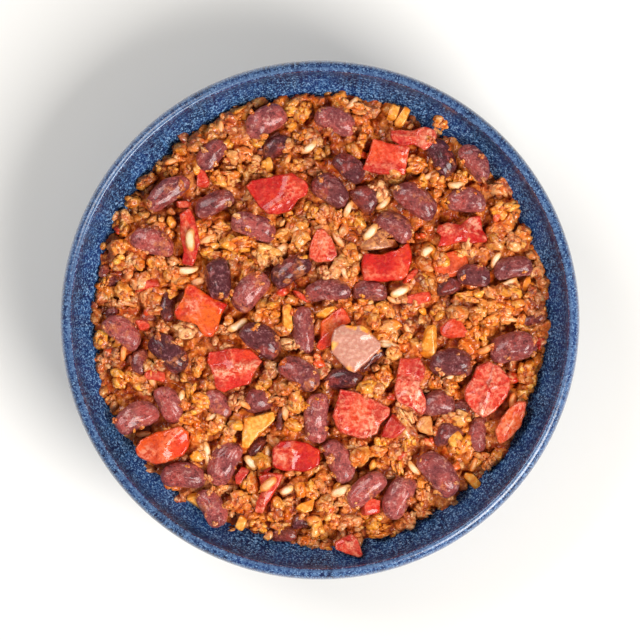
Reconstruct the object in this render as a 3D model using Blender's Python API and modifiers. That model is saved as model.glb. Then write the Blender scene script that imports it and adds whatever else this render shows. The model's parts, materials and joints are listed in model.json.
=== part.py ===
"""Chili con carne served in a glazed stoneware bowl.

The bowl is a turned shell. The chili is one mass with an uneven top that fills the bowl, and
kidney beans, red pepper and onion lie half sunk in pockets of that mass, each as its own solid.
Lengths are in metres, Z is up, and the origin is the centre of the foot ring on the table.
"""

import math
import random

import bmesh
import bpy
from mathutils import Euler, Matrix, Vector, noise

MM = 0.001

# Bowl
SIDES = 44
RIM_RADIUS = 100 * MM
RIM_HEIGHT = 52 * MM
CREST_RADIUS = 96.5 * MM
INNER_DROP = 2 * MM
OUTER_DROP = 5 * MM
LIP_STEPS = 2
WALL = 4.7 * MM
FLOOR_HEIGHT = 7 * MM
FLOOR_FLATNESS = 2.6
WALL_ROUNDNESS = 1.7
WALL_STEPS = 7
MERGE_DISTANCE = 0.05 * MM
FOOT_OUTER = 47 * MM
FOOT_INNER = 41 * MM
FOOT_TAPER = 1.0 * MM
UNDERSIDE_HEIGHT = 3 * MM

# Chili
CLEARANCE = 0.3 * MM
EDGE_LEVEL = 36.5 * MM
DOME = 2 * MM
FOOD_RADIUS = 90 * MM
EDGE_FALL = 3.5 * MM
EDGE_WIDTH = 8 * MM
LUMP_SPACING = 16 * MM
LUMP_HEIGHT = 3.2 * MM
EDGE_SPACING = 11 * MM
EDGE_HEIGHT = 5 * MM
RELIEF_CELLS = 24
FILL_TOP = 43 * MM
POCKET_GAP = 0.35 * MM

# Kidney beans
BEAN_SIDES = 8
BEAN_RINGS = 5
BEAN_THICKNESS = 0.84
BEAN_FULLNESS = 1.06
BEAN_BEND = 0.07
BEAN_HOLLOW = 0.1
BEAN_RING_CROWDING = 0.8
BEAN_END_POWER = 2.8
BEAN_GIRTH_POWER = 0.42
BEAN_LIFT = 1.3 * MM
BEAN_TILT = math.radians(7)

# Pepper and onion pieces
SLAB_CELLS = 3
PEPPER_THICKNESS = 5.0 * MM
ONION_THICKNESS = 3.6 * MM
SLAB_EDGE = 0.55
SLAB_EDGE_START = 0.9
SLAB_CORNER_CUT = 0.16
SLAB_CORNER_POWER = 4
SLAB_SAG_MIDDLE = 0.5
SLAB_SAG_ALONG = 0.4
SLAB_LIFT = 1.8 * MM
SLAB_TILT = math.radians(5)

# Pieces near the bowl's wall lean on it
LEAN_START = 76 * MM
LEAN_RUN = 14 * MM
LEAN = math.radians(28)

SEED = 11

# Each bean, in millimetres and degrees: x, y, length, width, turn, extra lift.
BEANS = [
    (-59, 49, 20, 9, 37, 0),
    (-65, 30, 18, 10, -18, 0),
    (-41, 45, 17, 9, 25, 0),
    (-42, 64, 15, 9, 50, 0),
    (-21, 77, 17, 11, 30, 0),
    (6, 77, 17, 10, -22, 0),
    (4, 50, 16, 11, -35, 0),
    (11, 59, 14, 9, -40, -1),
    (-26, 36, 18, 10, -20, 0),
    (37, 46, 19, 11, -35, 1),
    (29, 36, 16, 10, -35, -1),
    (47, 63, 16, 10, -62, -0.5),
    (60, 61, 16, 9, -55, 3),
    (57, 46, 15, 10, -5, 0),
    (-39, 16, 17, 10, 95, 0),
    (-27, 11, 18, 11, 50, 0),
    (-77, -5, 17, 10, -40, 0),
    (-59, -13, 18, 11, -45, 0),
    (-59, -33, 16, 9, -65, 0),
    (-71, -38, 18, 11, 25, 1),
    (-11, 19, 17, 10, 30, 0),
    (3, 11, 18, 9, 3, 0),
    (19, 11, 14, 8, -5, -1),
    (-6, -4, 19, 9, 95, 0),
    (-23, -8, 18, 11, -35, 0),
    (-8, -21, 18, 11, -35, 0),
    (-1, -38, 20, 10, 88, 0),
    (60, 17, 13, 9, -5, -1),
    (75, 20, 15, 9, 10, 0),
    (75, -11, 19, 12, 12, 1),
    (51, -17, 17, 11, -5, 0),
    (-53, -61, 18, 10, -3, 0),
    (-37, -56, 19, 11, 62, 0),
    (-42, -73, 16, 10, -65, 2),
    (7, -55, 18, 10, -65, 0),
    (18, -66, 18, 10, 40, 0),
    (31, -69, 18, 11, 60, 0),
    (46, -60, 20, 12, -50, 0),
]

# Each pepper piece: x, y, length, width, turn, taper, skew, curl, extra lift, extra lean.
PEPPERS = [
    (-51, 33, 21, 8, -75, 0.0, 0.0, 1.5, 0, 0),
    (-16, 51, 22, 15, 12, 0.1, 0.1, 2.5, 2, 0),
    (26, 62, 17, 13, -5, 0.0, 0.0, 1.5, 1, 0),
    (34, 72, 14, 8, -10, -0.2, 0.1, 1.5, 0.5, 0),
    (1, 29, 12, 10, -80, -0.2, 0.0, 1.0, 0, 0),
    (55, 34, 19, 11, 10, 0.1, 0.1, 1.5, 0, 0),
    (-46, 3, 21, 15, -30, 0.2, 0.0, 1.5, 0, 0),
    (-33, -21, 20, 15, 5, -0.1, 0.1, 1.5, 0, 0),
    (26, 22, 19, 11, 3, 0.0, 0.1, 1.5, 1, 0),
    (6, 1, 14, 7, 50, 0.0, 0.0, 1.0, -2.5, 0),
    (15, -36, 21, 15, -20, 0.1, 0.1, 1.5, 0, 0),
    (36, -25, 20, 12, -65, 0.1, 0.0, 1.5, 0, 0),
    (66, -28, 20, 15, 90, 0.0, 0.0, 2.0, 0, 0),
    (73, -43, 16, 8, 60, 0.0, 0.0, 1.5, 2, 0),
    (-60, -48, 21, 12, 18, 0.1, 0.0, 3.0, 1, 0),
    (-20, -68, 18, 7, 60, 0.0, 0.0, 1.0, 0, 0),
    (-9, -53, 19, 11, -5, 0.0, 0.0, 2.0, 0, 0),
    (12, -86, 10, 9, 0, 0.3, 0.0, 1.0, 3.3, 16),
]

# Each onion piece: the same values as a pepper piece.
ONIONS = [
    (12, -11, 20, 14, -20, 0.1, 0.1, 2.0, 3.5, 0),
    (-23, -42, 16, 11, 35, 0.4, 0.0, 1.0, 0, 0),
]

COLOURS = {
    "glaze": ((0.035, 0.075, 0.19), 0.2),
    "chili": ((0.42, 0.13, 0.03), 0.45),
    "bean": ((0.12, 0.025, 0.03), 0.3),
    "pepper": ((0.62, 0.04, 0.015), 0.25),
    "onion": ((0.75, 0.42, 0.22), 0.25),
}


def clear_scene():
    for old in list(bpy.data.objects):
        bpy.data.objects.remove(old)


def material_of(name):
    colour, roughness = COLOURS[name]
    material = bpy.data.materials.new(name)
    material.use_nodes = True
    shader = material.node_tree.nodes["Principled BSDF"]
    shader.inputs["Base Color"].default_value = (*colour, 1)
    shader.inputs["Roughness"].default_value = roughness
    shader.inputs["Metallic"].default_value = 0
    return material


def mesh_object(name, mesh, collection, material=None):
    made = bpy.data.objects.new(name, mesh)
    collection.objects.link(made)
    if material and not mesh.materials:
        mesh.materials.append(material)
    return made


def mesh_from(shape, name):
    bmesh.ops.triangulate(shape, faces=shape.faces[:])
    mesh = bpy.data.meshes.new(name)
    shape.to_mesh(mesh)
    shape.free()
    mesh.shade_smooth()
    return mesh


def hide_cutter(cutter):
    cutter.hide_render = True
    cutter.display_type = "WIRE"


# --- Turned shapes


def inner_wall(offset=0.0):
    """Points of the bowl's inside, from the floor's centre to the lip, moved inwards by offset."""
    lip_base = RIM_HEIGHT - INNER_DROP
    radius = RIM_RADIUS - WALL
    curve = []
    for step in range(WALL_STEPS + 1):
        angle = math.pi / 2 * step / WALL_STEPS
        r = radius * math.sin(angle) ** (2 / FLOOR_FLATNESS)
        z = lip_base - (lip_base - FLOOR_HEIGHT) * math.cos(angle) ** (2 / WALL_ROUNDNESS)
        curve.append(Vector((r, z)))
    return offset_curve(curve, offset)


def offset_curve(curve, distance):
    """The curve moved towards the inside of the bowl, square to its own run."""
    moved = []
    for index, point in enumerate(curve):
        before = curve[max(index - 1, 0)]
        after = curve[min(index + 1, len(curve) - 1)]
        run = (after - before).normalized()
        place = point + distance * Vector((-run.y, run.x))
        moved.append(Vector((max(place.x, 0), place.y)))
    moved[0].x = 0
    return moved


def quarter(start, end, corner):
    """Points on the elliptical arc between start and end that turns round corner."""
    curve = []
    for step in range(1, LIP_STEPS + 1):
        angle = math.pi / 2 * step / LIP_STEPS
        curve.append(corner + (start - corner) * math.cos(angle) + (end - corner) * math.sin(angle))
    return curve


def lip():
    """Points over the rim: a steep inner side, a narrow crest and a sloping outer side."""
    inner = Vector((RIM_RADIUS - WALL, RIM_HEIGHT - INNER_DROP))
    crest = Vector((CREST_RADIUS, RIM_HEIGHT))
    outer = Vector((RIM_RADIUS, RIM_HEIGHT - OUTER_DROP))
    up = quarter(inner, crest, Vector((crest.x, inner.y)))
    down = quarter(crest, outer, Vector((crest.x, outer.y)))
    return up + down


def bowl_profile():
    outer_wall = inner_wall(-WALL)
    shoulder = RIM_HEIGHT - OUTER_DROP
    outside = [point for point in reversed(outer_wall) if point.x > FOOT_OUTER and point.y < shoulder]
    foot = [
        Vector((FOOT_OUTER, foot_joint(outer_wall))),
        Vector((FOOT_OUTER - FOOT_TAPER, 0)),
        Vector((FOOT_INNER, 0)),
        Vector((FOOT_INNER - FOOT_TAPER, UNDERSIDE_HEIGHT)),
        Vector((0, UNDERSIDE_HEIGHT)),
    ]
    return inner_wall() + lip() + outside + foot


def foot_joint(outside):
    """Height at which the outer wall meets the foot ring."""
    for lower, upper in zip(outside, outside[1:]):
        if lower.x <= FOOT_OUTER < upper.x:
            share = (FOOT_OUTER - lower.x) / (upper.x - lower.x)
            return lower.y + share * (upper.y - lower.y)
    return outside[0].y


def fill_profile():
    """The chili before its top is shaped: it stands a little clear of the bowl's inside."""
    side = [point for point in inner_wall(CLEARANCE) if point.y < FILL_TOP]
    above = next(point for point in inner_wall(CLEARANCE) if point.y >= FILL_TOP)
    share = (FILL_TOP - side[-1].y) / (above.y - side[-1].y)
    top_edge = side[-1].lerp(above, share)
    return [Vector((0, FILL_TOP)), top_edge] + side[::-1]


def turned(name, profile, collection, material):
    mesh = bpy.data.meshes.new(name)
    edges = [(index, index + 1) for index in range(len(profile) - 1)]
    mesh.from_pydata([(point.x, 0, point.y) for point in profile], edges, [])
    made = mesh_object(name, mesh, collection, material)
    screw = made.modifiers.new("turn", "SCREW")
    screw.steps = SIDES
    screw.render_steps = SIDES
    screw.use_merge_vertices = True
    screw.merge_threshold = MERGE_DISTANCE
    return made


# --- The chili's top


def surface(x, y):
    """Height of the chili at a place: a low dome with soft lumps that falls off at the bowl's wall."""
    reach = math.hypot(x, y)
    dome = EDGE_LEVEL + DOME * (1 - (reach / FOOD_RADIUS) ** 2)
    rounded = min(max((reach - FOOD_RADIUS + EDGE_WIDTH) / EDGE_WIDTH, 0), 1)
    lumps = LUMP_HEIGHT * noise.noise(Vector((x, y, 0)) / LUMP_SPACING)
    ragged = EDGE_HEIGHT * noise.noise(Vector((x, y, RIM_RADIUS)) / EDGE_SPACING)
    return dome + lumps + rounded * ragged - EDGE_FALL * rounded**2


def relief_block(collection):
    """All the space above the chili's surface, to be cut away from the fill."""
    shape = bmesh.new()
    bmesh.ops.create_grid(shape, x_segments=RELIEF_CELLS, y_segments=RELIEF_CELLS, size=RIM_RADIUS)
    below = shape.faces[:]
    for vertex in shape.verts:
        vertex.co.z = surface(vertex.co.x, vertex.co.y)
    raised = bmesh.ops.extrude_face_region(shape, geom=below, use_keep_orig=True)
    for item in raised["geom"]:
        if isinstance(item, bmesh.types.BMVert):
            item.co.z = RIM_HEIGHT
    bmesh.ops.recalc_face_normals(shape, faces=shape.faces)
    block = mesh_object("space_above", mesh_from(shape, "space_above"), collection)
    hide_cutter(block)
    return block


# --- Pieces in the chili


def bean_mesh(name, length, width):
    """A kidney bean: a fat ellipsoid, bent and notched on the side of its hilum."""
    shape = bmesh.new()
    bmesh.ops.create_uvsphere(shape, u_segments=BEAN_SIDES, v_segments=BEAN_RINGS, radius=1)
    half_width = width / 2 * BEAN_FULLNESS
    half_thickness = half_width * BEAN_THICKNESS
    for vertex in shape.verts:
        along = math.copysign(min(abs(vertex.co.z), 1) ** BEAN_RING_CROWDING, vertex.co.z)
        ring = max(math.hypot(vertex.co.x, vertex.co.y), 0.01)
        girth = (1 - abs(along) ** BEAN_END_POWER) ** BEAN_GIRTH_POWER
        across = vertex.co.x / ring * girth
        upward = vertex.co.y / ring * girth
        if across < 0:
            across *= 1 - BEAN_HOLLOW * (1 - along**2)
        bend = BEAN_BEND * width * (1 - 2 * along**2)
        vertex.co = Vector((length / 2 * along, half_width * across + bend, half_thickness * upward))
    return mesh_from(shape, name)


def slab_mesh(name, length, width, thickness, taper, skew, curl):
    """A cut piece of pepper or onion: a curved slab with soft corners and thinner edges."""
    shape = bmesh.new()
    bmesh.ops.create_grid(shape, x_segments=SLAB_CELLS, y_segments=SLAB_CELLS, size=1)
    upper = shape.faces[:]
    raised = bmesh.ops.extrude_face_region(shape, geom=upper, use_keep_orig=True)
    lower = {item for item in raised["geom"] if isinstance(item, bmesh.types.BMVert)}
    for vertex in shape.verts:
        x, y, _ = vertex.co
        edge = max(abs(x), abs(y)) > SLAB_EDGE_START
        corner = 1 - SLAB_CORNER_CUT * (x * y) ** SLAB_CORNER_POWER
        half = thickness / 2 * (SLAB_EDGE if edge else 1)
        across = width / 2 * y * corner * (1 - taper * x)
        along = length / 2 * x * corner + skew * length / 2 * y
        sag = curl * (SLAB_SAG_MIDDLE - (y * corner) ** 2 - SLAB_SAG_ALONG * x**2)
        vertex.co = Vector((along, across, sag + (-half if vertex in lower else half)))
    bmesh.ops.recalc_face_normals(shape, faces=shape.faces)
    return mesh_from(shape, name)


def grown(mesh, name):
    """A copy of a mesh with every side moved out by the pocket's gap."""
    shape = bmesh.new()
    shape.from_mesh(mesh)
    shape.normal_update()
    moves = [vertex.normal * vertex.calc_shell_factor() * POCKET_GAP for vertex in shape.verts]
    for vertex, move in zip(shape.verts, moves):
        vertex.co += move
    return mesh_from(shape, name)


def box_round(mesh, name):
    """A plain box that holds a mesh with the pocket's gap on each side."""
    shape = bmesh.new()
    bmesh.ops.create_cube(shape, size=1)
    places = [vertex.co for vertex in mesh.vertices]
    low = Vector([min(place[axis] for place in places) - POCKET_GAP for axis in range(3)])
    high = Vector([max(place[axis] for place in places) + POCKET_GAP for axis in range(3)])
    for vertex in shape.verts:
        vertex.co = Vector([high[axis] if vertex.co[axis] > 0 else low[axis] for axis in range(3)])
    return mesh_from(shape, name)


def attitude(x, y, turn, tilt, extra_lean, chance):
    """A piece's rotation: its turn, a small chance tilt, and a lean on the bowl's wall near the rim."""
    reach = math.hypot(x, y)
    lean = extra_lean + LEAN * min(max((reach - LEAN_START) / LEAN_RUN, 0), 1)
    leaning = Matrix.Rotation(lean, 4, Vector((y, -x, 0)))
    tilting = Euler((chance.uniform(-tilt, tilt), chance.uniform(-tilt, tilt), turn)).to_matrix()
    return leaning @ tilting.to_4x4()


def place(mesh, pocket_mesh, x, y, lift, rotation, collections, material):
    """Lays a piece in the chili, and the cutter of its pocket round it."""
    spot = Matrix.Translation((x, y, surface(x, y) + lift)) @ rotation
    made = mesh_object(mesh.name, mesh, collections["part"], material)
    made.matrix_world = spot
    pocket = mesh_object(pocket_mesh.name, pocket_mesh, collections["pockets"])
    pocket.matrix_world = spot
    hide_cutter(pocket)


def add_beans(chance, collections, material):
    for number, (x, y, length, width, turn, lift) in enumerate(BEANS, 1):
        mesh = bean_mesh(f"bean_{number:02d}", length * MM, width * MM)
        rotation = attitude(x * MM, y * MM, math.radians(turn), BEAN_TILT, 0, chance)
        pocket = grown(mesh, mesh.name + "_pocket")
        place(mesh, pocket, x * MM, y * MM, BEAN_LIFT + lift * MM, rotation, collections, material)


def add_slabs(kind, pieces, thickness, chance, collections, material):
    for number, piece in enumerate(pieces, 1):
        x, y, length, width, turn, taper, skew, curl, lift, lean = piece
        name = f"{kind}_{number:02d}"
        mesh = slab_mesh(name, length * MM, width * MM, thickness, taper, skew, curl * MM)
        rotation = attitude(x * MM, y * MM, math.radians(turn), SLAB_TILT, math.radians(lean), chance)
        pocket = box_round(mesh, name + "_pocket")
        place(mesh, pocket, x * MM, y * MM, SLAB_LIFT + lift * MM, rotation, collections, material)


def cut(target, name, **operand):
    boolean = target.modifiers.new(name, "BOOLEAN")
    boolean.operation = "DIFFERENCE"
    boolean.solver = "EXACT"
    for setting, value in operand.items():
        setattr(boolean, setting, value)


def new_collection(name):
    collection = bpy.data.collections.new(name)
    bpy.context.scene.collection.children.link(collection)
    return collection


def main():
    clear_scene()
    chance = random.Random(SEED)
    collections = {
        "part": new_collection("chili_con_carne"),
        "pockets": new_collection("pockets"),
        "cutters": new_collection("cutters"),
    }
    materials = {name: material_of(name) for name in COLOURS}
    turned("bowl", bowl_profile(), collections["part"], materials["glaze"])
    chili = turned("chili", fill_profile(), collections["part"], materials["chili"])
    cut(chili, "surface", object=relief_block(collections["cutters"]))
    add_beans(chance, collections, materials["bean"])
    add_slabs("pepper", PEPPERS, PEPPER_THICKNESS, chance, collections, materials["pepper"])
    add_slabs("onion", ONIONS, ONION_THICKNESS, chance, collections, materials["onion"])
    cut(chili, "pockets", operand_type="COLLECTION", collection=collections["pockets"])


main()
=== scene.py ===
import json
import math
import random

import bmesh
import bpy
import numpy as np
from mathutils import Matrix, Vector, noise
from mathutils.bvhtree import BVHTree
from mathutils.kdtree import KDTree

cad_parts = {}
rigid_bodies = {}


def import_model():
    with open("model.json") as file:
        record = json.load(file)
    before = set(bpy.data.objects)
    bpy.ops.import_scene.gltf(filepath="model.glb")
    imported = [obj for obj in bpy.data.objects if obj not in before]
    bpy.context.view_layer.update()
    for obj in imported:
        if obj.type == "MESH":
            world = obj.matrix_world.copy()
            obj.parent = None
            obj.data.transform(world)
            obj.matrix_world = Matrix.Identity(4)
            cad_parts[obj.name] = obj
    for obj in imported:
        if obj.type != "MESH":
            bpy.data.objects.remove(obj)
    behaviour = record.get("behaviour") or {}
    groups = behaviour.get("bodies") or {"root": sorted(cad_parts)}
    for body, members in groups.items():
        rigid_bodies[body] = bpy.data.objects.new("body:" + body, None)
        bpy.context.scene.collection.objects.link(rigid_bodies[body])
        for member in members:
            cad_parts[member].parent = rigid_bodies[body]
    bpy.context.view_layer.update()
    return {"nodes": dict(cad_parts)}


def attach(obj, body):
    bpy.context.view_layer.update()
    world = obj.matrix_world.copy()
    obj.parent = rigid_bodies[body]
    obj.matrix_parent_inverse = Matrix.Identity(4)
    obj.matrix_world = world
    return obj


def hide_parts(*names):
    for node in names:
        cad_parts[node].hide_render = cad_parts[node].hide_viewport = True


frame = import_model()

mm = 0.001
nodes = frame["nodes"]


def tint(red, green, blue):
    # a colour as a paint program shows it, turned into the linear values that a shader takes
    def linear(level):
        level /= 255
        return level / 12.92 if level <= 0.04045 else ((level + 0.055) / 1.055) ** 2.4
    return (linear(red), linear(green), linear(blue), 1.0)


def smooth(low, high, value):
    share = np.clip((value - low) / (high - low), 0, 1)
    return share * share * (3 - 2 * share)


def within(value, low=0, high=1):
    return min(max(value, low), high)


class Value:
    # one output socket, so that sums on it can be written as plain expressions

    def __init__(self, graph, socket):
        self.graph = graph
        self.socket = socket

    def maths(self, operation, first, second):
        return self.graph.node("ShaderNodeMath", {"operation": operation}, [first, second])

    def __add__(self, other):
        return self.maths("ADD", self, other)

    def __radd__(self, other):
        return self.maths("ADD", other, self)

    def __sub__(self, other):
        return self.maths("SUBTRACT", self, other)

    def __rsub__(self, other):
        return self.maths("SUBTRACT", other, self)

    def __mul__(self, other):
        return self.maths("MULTIPLY", self, other)

    def __rmul__(self, other):
        return self.maths("MULTIPLY", other, self)

    def __gt__(self, other):
        return self.maths("GREATER_THAN", self, other)

    def output(self, key):
        return Value(self.graph, self.socket.node.outputs[key])


class Graph:
    # builds the nodes of a material or of a geometry tree

    def __init__(self, tree):
        self.tree = tree
        tree.nodes.clear()

    def node(self, kind, settings=None, values=(), out=0):
        made = self.tree.nodes.new(kind)
        for name, setting in (settings or {}).items():
            if name == "stops":
                self.fillRamp(made.color_ramp, setting)
            else:
                setattr(made, name, setting)
        pairs = values.items() if isinstance(values, dict) else enumerate(values)
        for key, value in pairs:
            if isinstance(value, Value):
                self.tree.links.new(value.socket, made.inputs[key])
            else:
                made.inputs[key].default_value = value
        return Value(self, made.outputs[out]) if len(made.outputs) else made

    def fillRamp(self, ramp, stops):
        while len(ramp.elements) < len(stops):
            ramp.elements.new(0.5)
        for element, (place, colour) in zip(ramp.elements, stops):
            element.position = place
            element.color = colour

    def mix(self, factor, first, second):
        return self.node("ShaderNodeMix", {"data_type": "RGBA"}, {0: factor, 6: first, 7: second}, 2)

    def vector(self, operation, first, second=None, scale=None, out=0):
        values = {0: first}
        if second is not None:
            values[1] = second
        if scale is not None:
            values["Scale"] = scale
        return self.node("ShaderNodeVectorMath", {"operation": operation}, values, out)

    def noise(self, place, scale, detail, roughness):
        values = {"Vector": place, "Scale": scale, "Detail": detail, "Roughness": roughness}
        return self.node("ShaderNodeTexNoise", None, values)

    def between(self, value, low, high):
        return self.node("ShaderNodeMapRange", {"interpolation_type": "SMOOTHSTEP"}, [value, low, high])

    def layers(self, colour, rows):
        # lays colours over one another, each as far as its mask has come from low to high
        for mask, low, high, amount, paint in rows:
            colour = self.mix(self.between(mask, low, high) * amount, colour, paint)
        return colour

    def ramp(self, factor, stops):
        return self.node("ShaderNodeValToRGB", {"stops": stops}, [factor])

    def attribute(self, name):
        return self.node("ShaderNodeAttribute", {"attribute_name": name}, out=2)


def newMaterial(name):
    # a material, its graph and the place on the object
    material = bpy.data.materials.new(name)
    material.use_nodes = True
    graph = Graph(material.node_tree)
    return material, graph, graph.node("ShaderNodeTexCoord").output("Object")


def juicy(weight, *radius):
    # light that goes a little way into the food
    return {"Subsurface Weight": weight, "Subsurface Radius": radius, "Subsurface Scale": 0.5}


def finishMaterial(graph, colour, roughness, others, height=None, depth=None, strength=None):
    values = {"Base Color": colour, "Roughness": roughness, **others}
    if height is not None:
        bump = {"Height": height, "Distance": depth, "Strength": strength}
        values["Normal"] = graph.node("ShaderNodeBump", None, bump)
    shader = graph.node("ShaderNodeBsdfPrincipled", None, values)
    graph.node("ShaderNodeOutputMaterial", None, {"Surface": shader})


def newObject(name, mesh, material=None):
    made = bpy.data.objects.new(name, mesh)
    bpy.context.scene.collection.objects.link(made)
    if material:
        mesh.materials.clear()
        mesh.materials.append(material)
    return made


def meshFrom(name, points, faces):
    mesh = bpy.data.meshes.new(name)
    mesh.from_pydata(points, [], faces)
    mesh.update()
    return mesh


def meshOf(shape, name):
    mesh = bpy.data.meshes.new(name)
    shape.to_mesh(mesh)
    shape.free()
    return mesh


def pointsOf(mesh):
    points = np.empty(len(mesh.vertices) * 3)
    mesh.vertices.foreach_get("co", points)
    return points.reshape(-1, 3)


def bake(source, name):
    # the evaluated mesh as a new plain one
    graph = bpy.context.evaluated_depsgraph_get()
    mesh = bpy.data.meshes.new_from_object(source.evaluated_get(graph))
    mesh.name = name
    bpy.data.objects.remove(source)
    return mesh


def dress(mesh, material=None, replaced=()):
    # a finished mesh as a piece of the scene
    piece = newObject(mesh.name, mesh, material)
    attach(piece, "root")
    if replaced:
        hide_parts(*replaced)
    mesh.shade_smooth()
    return piece


def setAttribute(mesh, name, values):
    layer = mesh.attributes.new(name, "FLOAT", "POINT")
    layer.data.foreach_set("value", np.asarray(values, np.float32))


# the bowl
bowlForm = {
    "radius": 100 * mm, "height": 52 * mm, "crest": 96.5 * mm, "innerDrop": 2 * mm,
    "outerDrop": 5 * mm, "wall": 4.7 * mm, "floor": 7 * mm, "floorFlatness": 2.6,
    "wallRoundness": 1.7, "footOuter": 47 * mm, "footInner": 41 * mm, "footTaper": 1.0 * mm,
    "underside": 3 * mm, "footRound": 0.6 * mm, "footStep": 0.5 * mm, "gap": 1 * mm,
    "sides": 240, "wallSteps": 36, "lipSteps": 8, "wallLevels": 90,
}
bowlTop = bowlForm["height"] - bowlForm["innerDrop"]
bowlInside = bowlForm["radius"] - bowlForm["wall"]


def innerRadius(z):
    # radius of the bowl's inside at a height
    rise = within((z - bowlForm["floor"]) / (bowlTop - bowlForm["floor"]))
    return bowlInside * (1 - (1 - rise) ** bowlForm["wallRoundness"]) ** (1 / bowlForm["floorFlatness"])


def wallCurve(offset):
    form = bowlForm
    curve = []
    for step in range(form["wallSteps"] + 1):
        angle = math.pi / 2 * step / form["wallSteps"]
        r = bowlInside * math.sin(angle) ** (2 / form["floorFlatness"])
        z = bowlTop - (bowlTop - form["floor"]) * math.cos(angle) ** (2 / form["wallRoundness"])
        curve.append(Vector((r, z)))
    moved = []
    for index, point in enumerate(curve):
        run = curve[min(index + 1, len(curve) - 1)] - curve[max(index - 1, 0)]
        run.normalize()
        moved.append(point + offset * Vector((-run.y, run.x)))
    return moved


def lipCurve(start, end, corner):
    steps = bowlForm["lipSteps"]
    angles = [math.pi / 2 * step / steps for step in range(1, steps + 1)]
    return [corner + (start - corner) * math.cos(a) + (end - corner) * math.sin(a) for a in angles]


def bowlCurve():
    # the bowl's section, from the middle of its floor over the lip to the middle of its underside
    form = bowlForm
    inner = Vector((bowlInside, bowlTop))
    crest = Vector((form["crest"], form["height"]))
    outer = Vector((form["radius"], form["height"] - form["outerDrop"]))
    curve = wallCurve(0) + lipCurve(inner, crest, Vector((crest.x, inner.y)))
    curve += lipCurve(crest, outer, Vector((crest.x, outer.y)))
    for point in reversed(wallCurve(-form["wall"])):
        if point.x > form["footOuter"] + form["gap"] and point.y < outer.y - form["gap"]:
            curve.append(point)
    bevel = form["footRound"]
    footLow = form["footOuter"] - form["footTaper"]
    footInner = form["footInner"]
    foot = [(form["footOuter"], curve[-1].y - form["footStep"]), (footLow, bevel), (footLow - bevel, 0),
            (footInner + bevel, 0), (footInner, bevel), (footInner - form["footTaper"], form["underside"]),
            (0, form["underside"])]
    return curve + [Vector(corner) for corner in foot]


def buildBowl():
    curve = bowlCurve()
    sides = bowlForm["sides"]
    points = []
    for r, z in curve[1:-1]:
        for side in range(sides):
            angle = 2 * math.pi * side / sides
            points.append((r * math.cos(angle), r * math.sin(angle), z))
    faces = []
    rows = len(curve) - 2
    for row in range(rows - 1):
        for side in range(sides):
            after = (side + 1) % sides
            a = row * sides
            b = a + sides
            faces.append((a + side, b + side, b + after, a + after))
    first = len(points)
    points += [(0, 0, curve[0].y), (0, 0, curve[-1].y)]
    last = (rows - 1) * sides
    for side in range(sides):
        after = (side + 1) % sides
        faces.append((first, side, after))
        faces.append((first + 1, last + after, last + side))
    return meshFrom("glazedBowl", points, faces)


glazeLook = {
    "deep": tint(8, 22, 62), "blue": tint(14, 42, 98), "fleck": tint(76, 134, 192),
    "speck": tint(168, 200, 230), "shade": tint(18, 28, 66), "flank": tint(66, 92, 136),
    "crest": tint(80, 108, 146), "edge": tint(140, 146, 158), "clay": tint(150, 124, 96),
    "paleClay": tint(196, 172, 140), "roughness": 0.46, "coat": 0.9, "relief": 0.4 * mm,
}


def glazeMaterial():
    # a speckled blue glaze, thin and grey-blue on the lip, with a painted highlight along its crest and a
    # paler grey line at its outer edge, over a buff stoneware foot
    look = glazeLook
    material, g, here = newMaterial("speckledGlaze")
    flat = g.vector("MULTIPLY", here, (1, 1, 0))
    reach = g.vector("LENGTH", flat, out=1)
    height = g.node("ShaderNodeSeparateXYZ", None, [here]).output(2)
    around = g.vector("SCALE", g.vector("NORMALIZE", flat), scale=0.1)
    streaks = g.noise(g.vector("ADD", around, g.vector("SCALE", here, scale=0.1)), 700, 3, 0.65)
    cloud = g.noise(here, 70, 3, 0.6)
    speckle = g.noise(here, 900, 4, 0.75)
    grain = g.noise(here, 1700, 2, 0.6)
    fleck = g.between(speckle * 0.5 + grain * 0.35 + streaks * 0.15, 0.46, 0.6)
    inside = g.between(height, 51.5 * mm, 50 * mm) * g.between(reach, 96.6 * mm, 96.2 * mm)
    shade = inside * g.between(height, 41.5 * mm, 45.5 * mm)
    flank = g.between(reach, 95.8 * mm, 96.4 * mm) * g.between(height, 43 * mm, 48 * mm)
    crest = g.between(reach, 95.6 * mm, 96.1 * mm) * g.between(reach, 97.2 * mm, 96.6 * mm)
    crest = crest * g.between(height, 50 * mm, 51.5 * mm)
    edge = g.between(reach, 99.4 * mm, 99.8 * mm) * g.between(height, 44 * mm, 47 * mm)
    lip = g.between(reach, 94.5 * mm, 95.6 * mm) * g.between(height, 43 * mm, 48 * mm)
    bare = 1 - g.between(height + (cloud - 0.5) * mm, 0.5 * mm, 1.4 * mm)
    blue = g.mix(g.between(cloud, 0.35, 0.65), look["deep"], look["blue"])
    blue = g.mix(fleck * 0.85, blue, look["fleck"])
    blue = g.layers(blue, [
        (grain * 0.5 + speckle * 0.5, 0.52, 0.62, 0.7, look["speck"]),
        (streaks, 0.7, 0.4, shade * 0.45, look["shade"]),
        (speckle * 0.5 + streaks * 0.5, 0.42, 0.58, flank * 0.6, look["flank"])])
    # the crest painted lighter: partly the glaze's own grey-blue, partly a painted highlight, broken by the
    # glaze's streaks
    blue = g.mix(crest * (0.25 + 0.5 * g.between(streaks, 0.35, 0.6)), blue, look["crest"])
    blue = g.mix(edge * 0.5, blue, look["edge"])
    colour = g.mix(bare, blue, g.mix(grain, look["clay"], look["paleClay"]))
    finishMaterial(g, colour, look["roughness"] - 0.22 * lip + 0.12 * fleck + 0.35 * bare,
                   {"Coat Weight": look["coat"] * lip, "Coat Roughness": 0.2, "Specular IOR Level": 0.25},
                   cloud * 0.4 + speckle * 0.35 + streaks * 0.25, look["relief"], 0.5)
    return material


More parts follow.
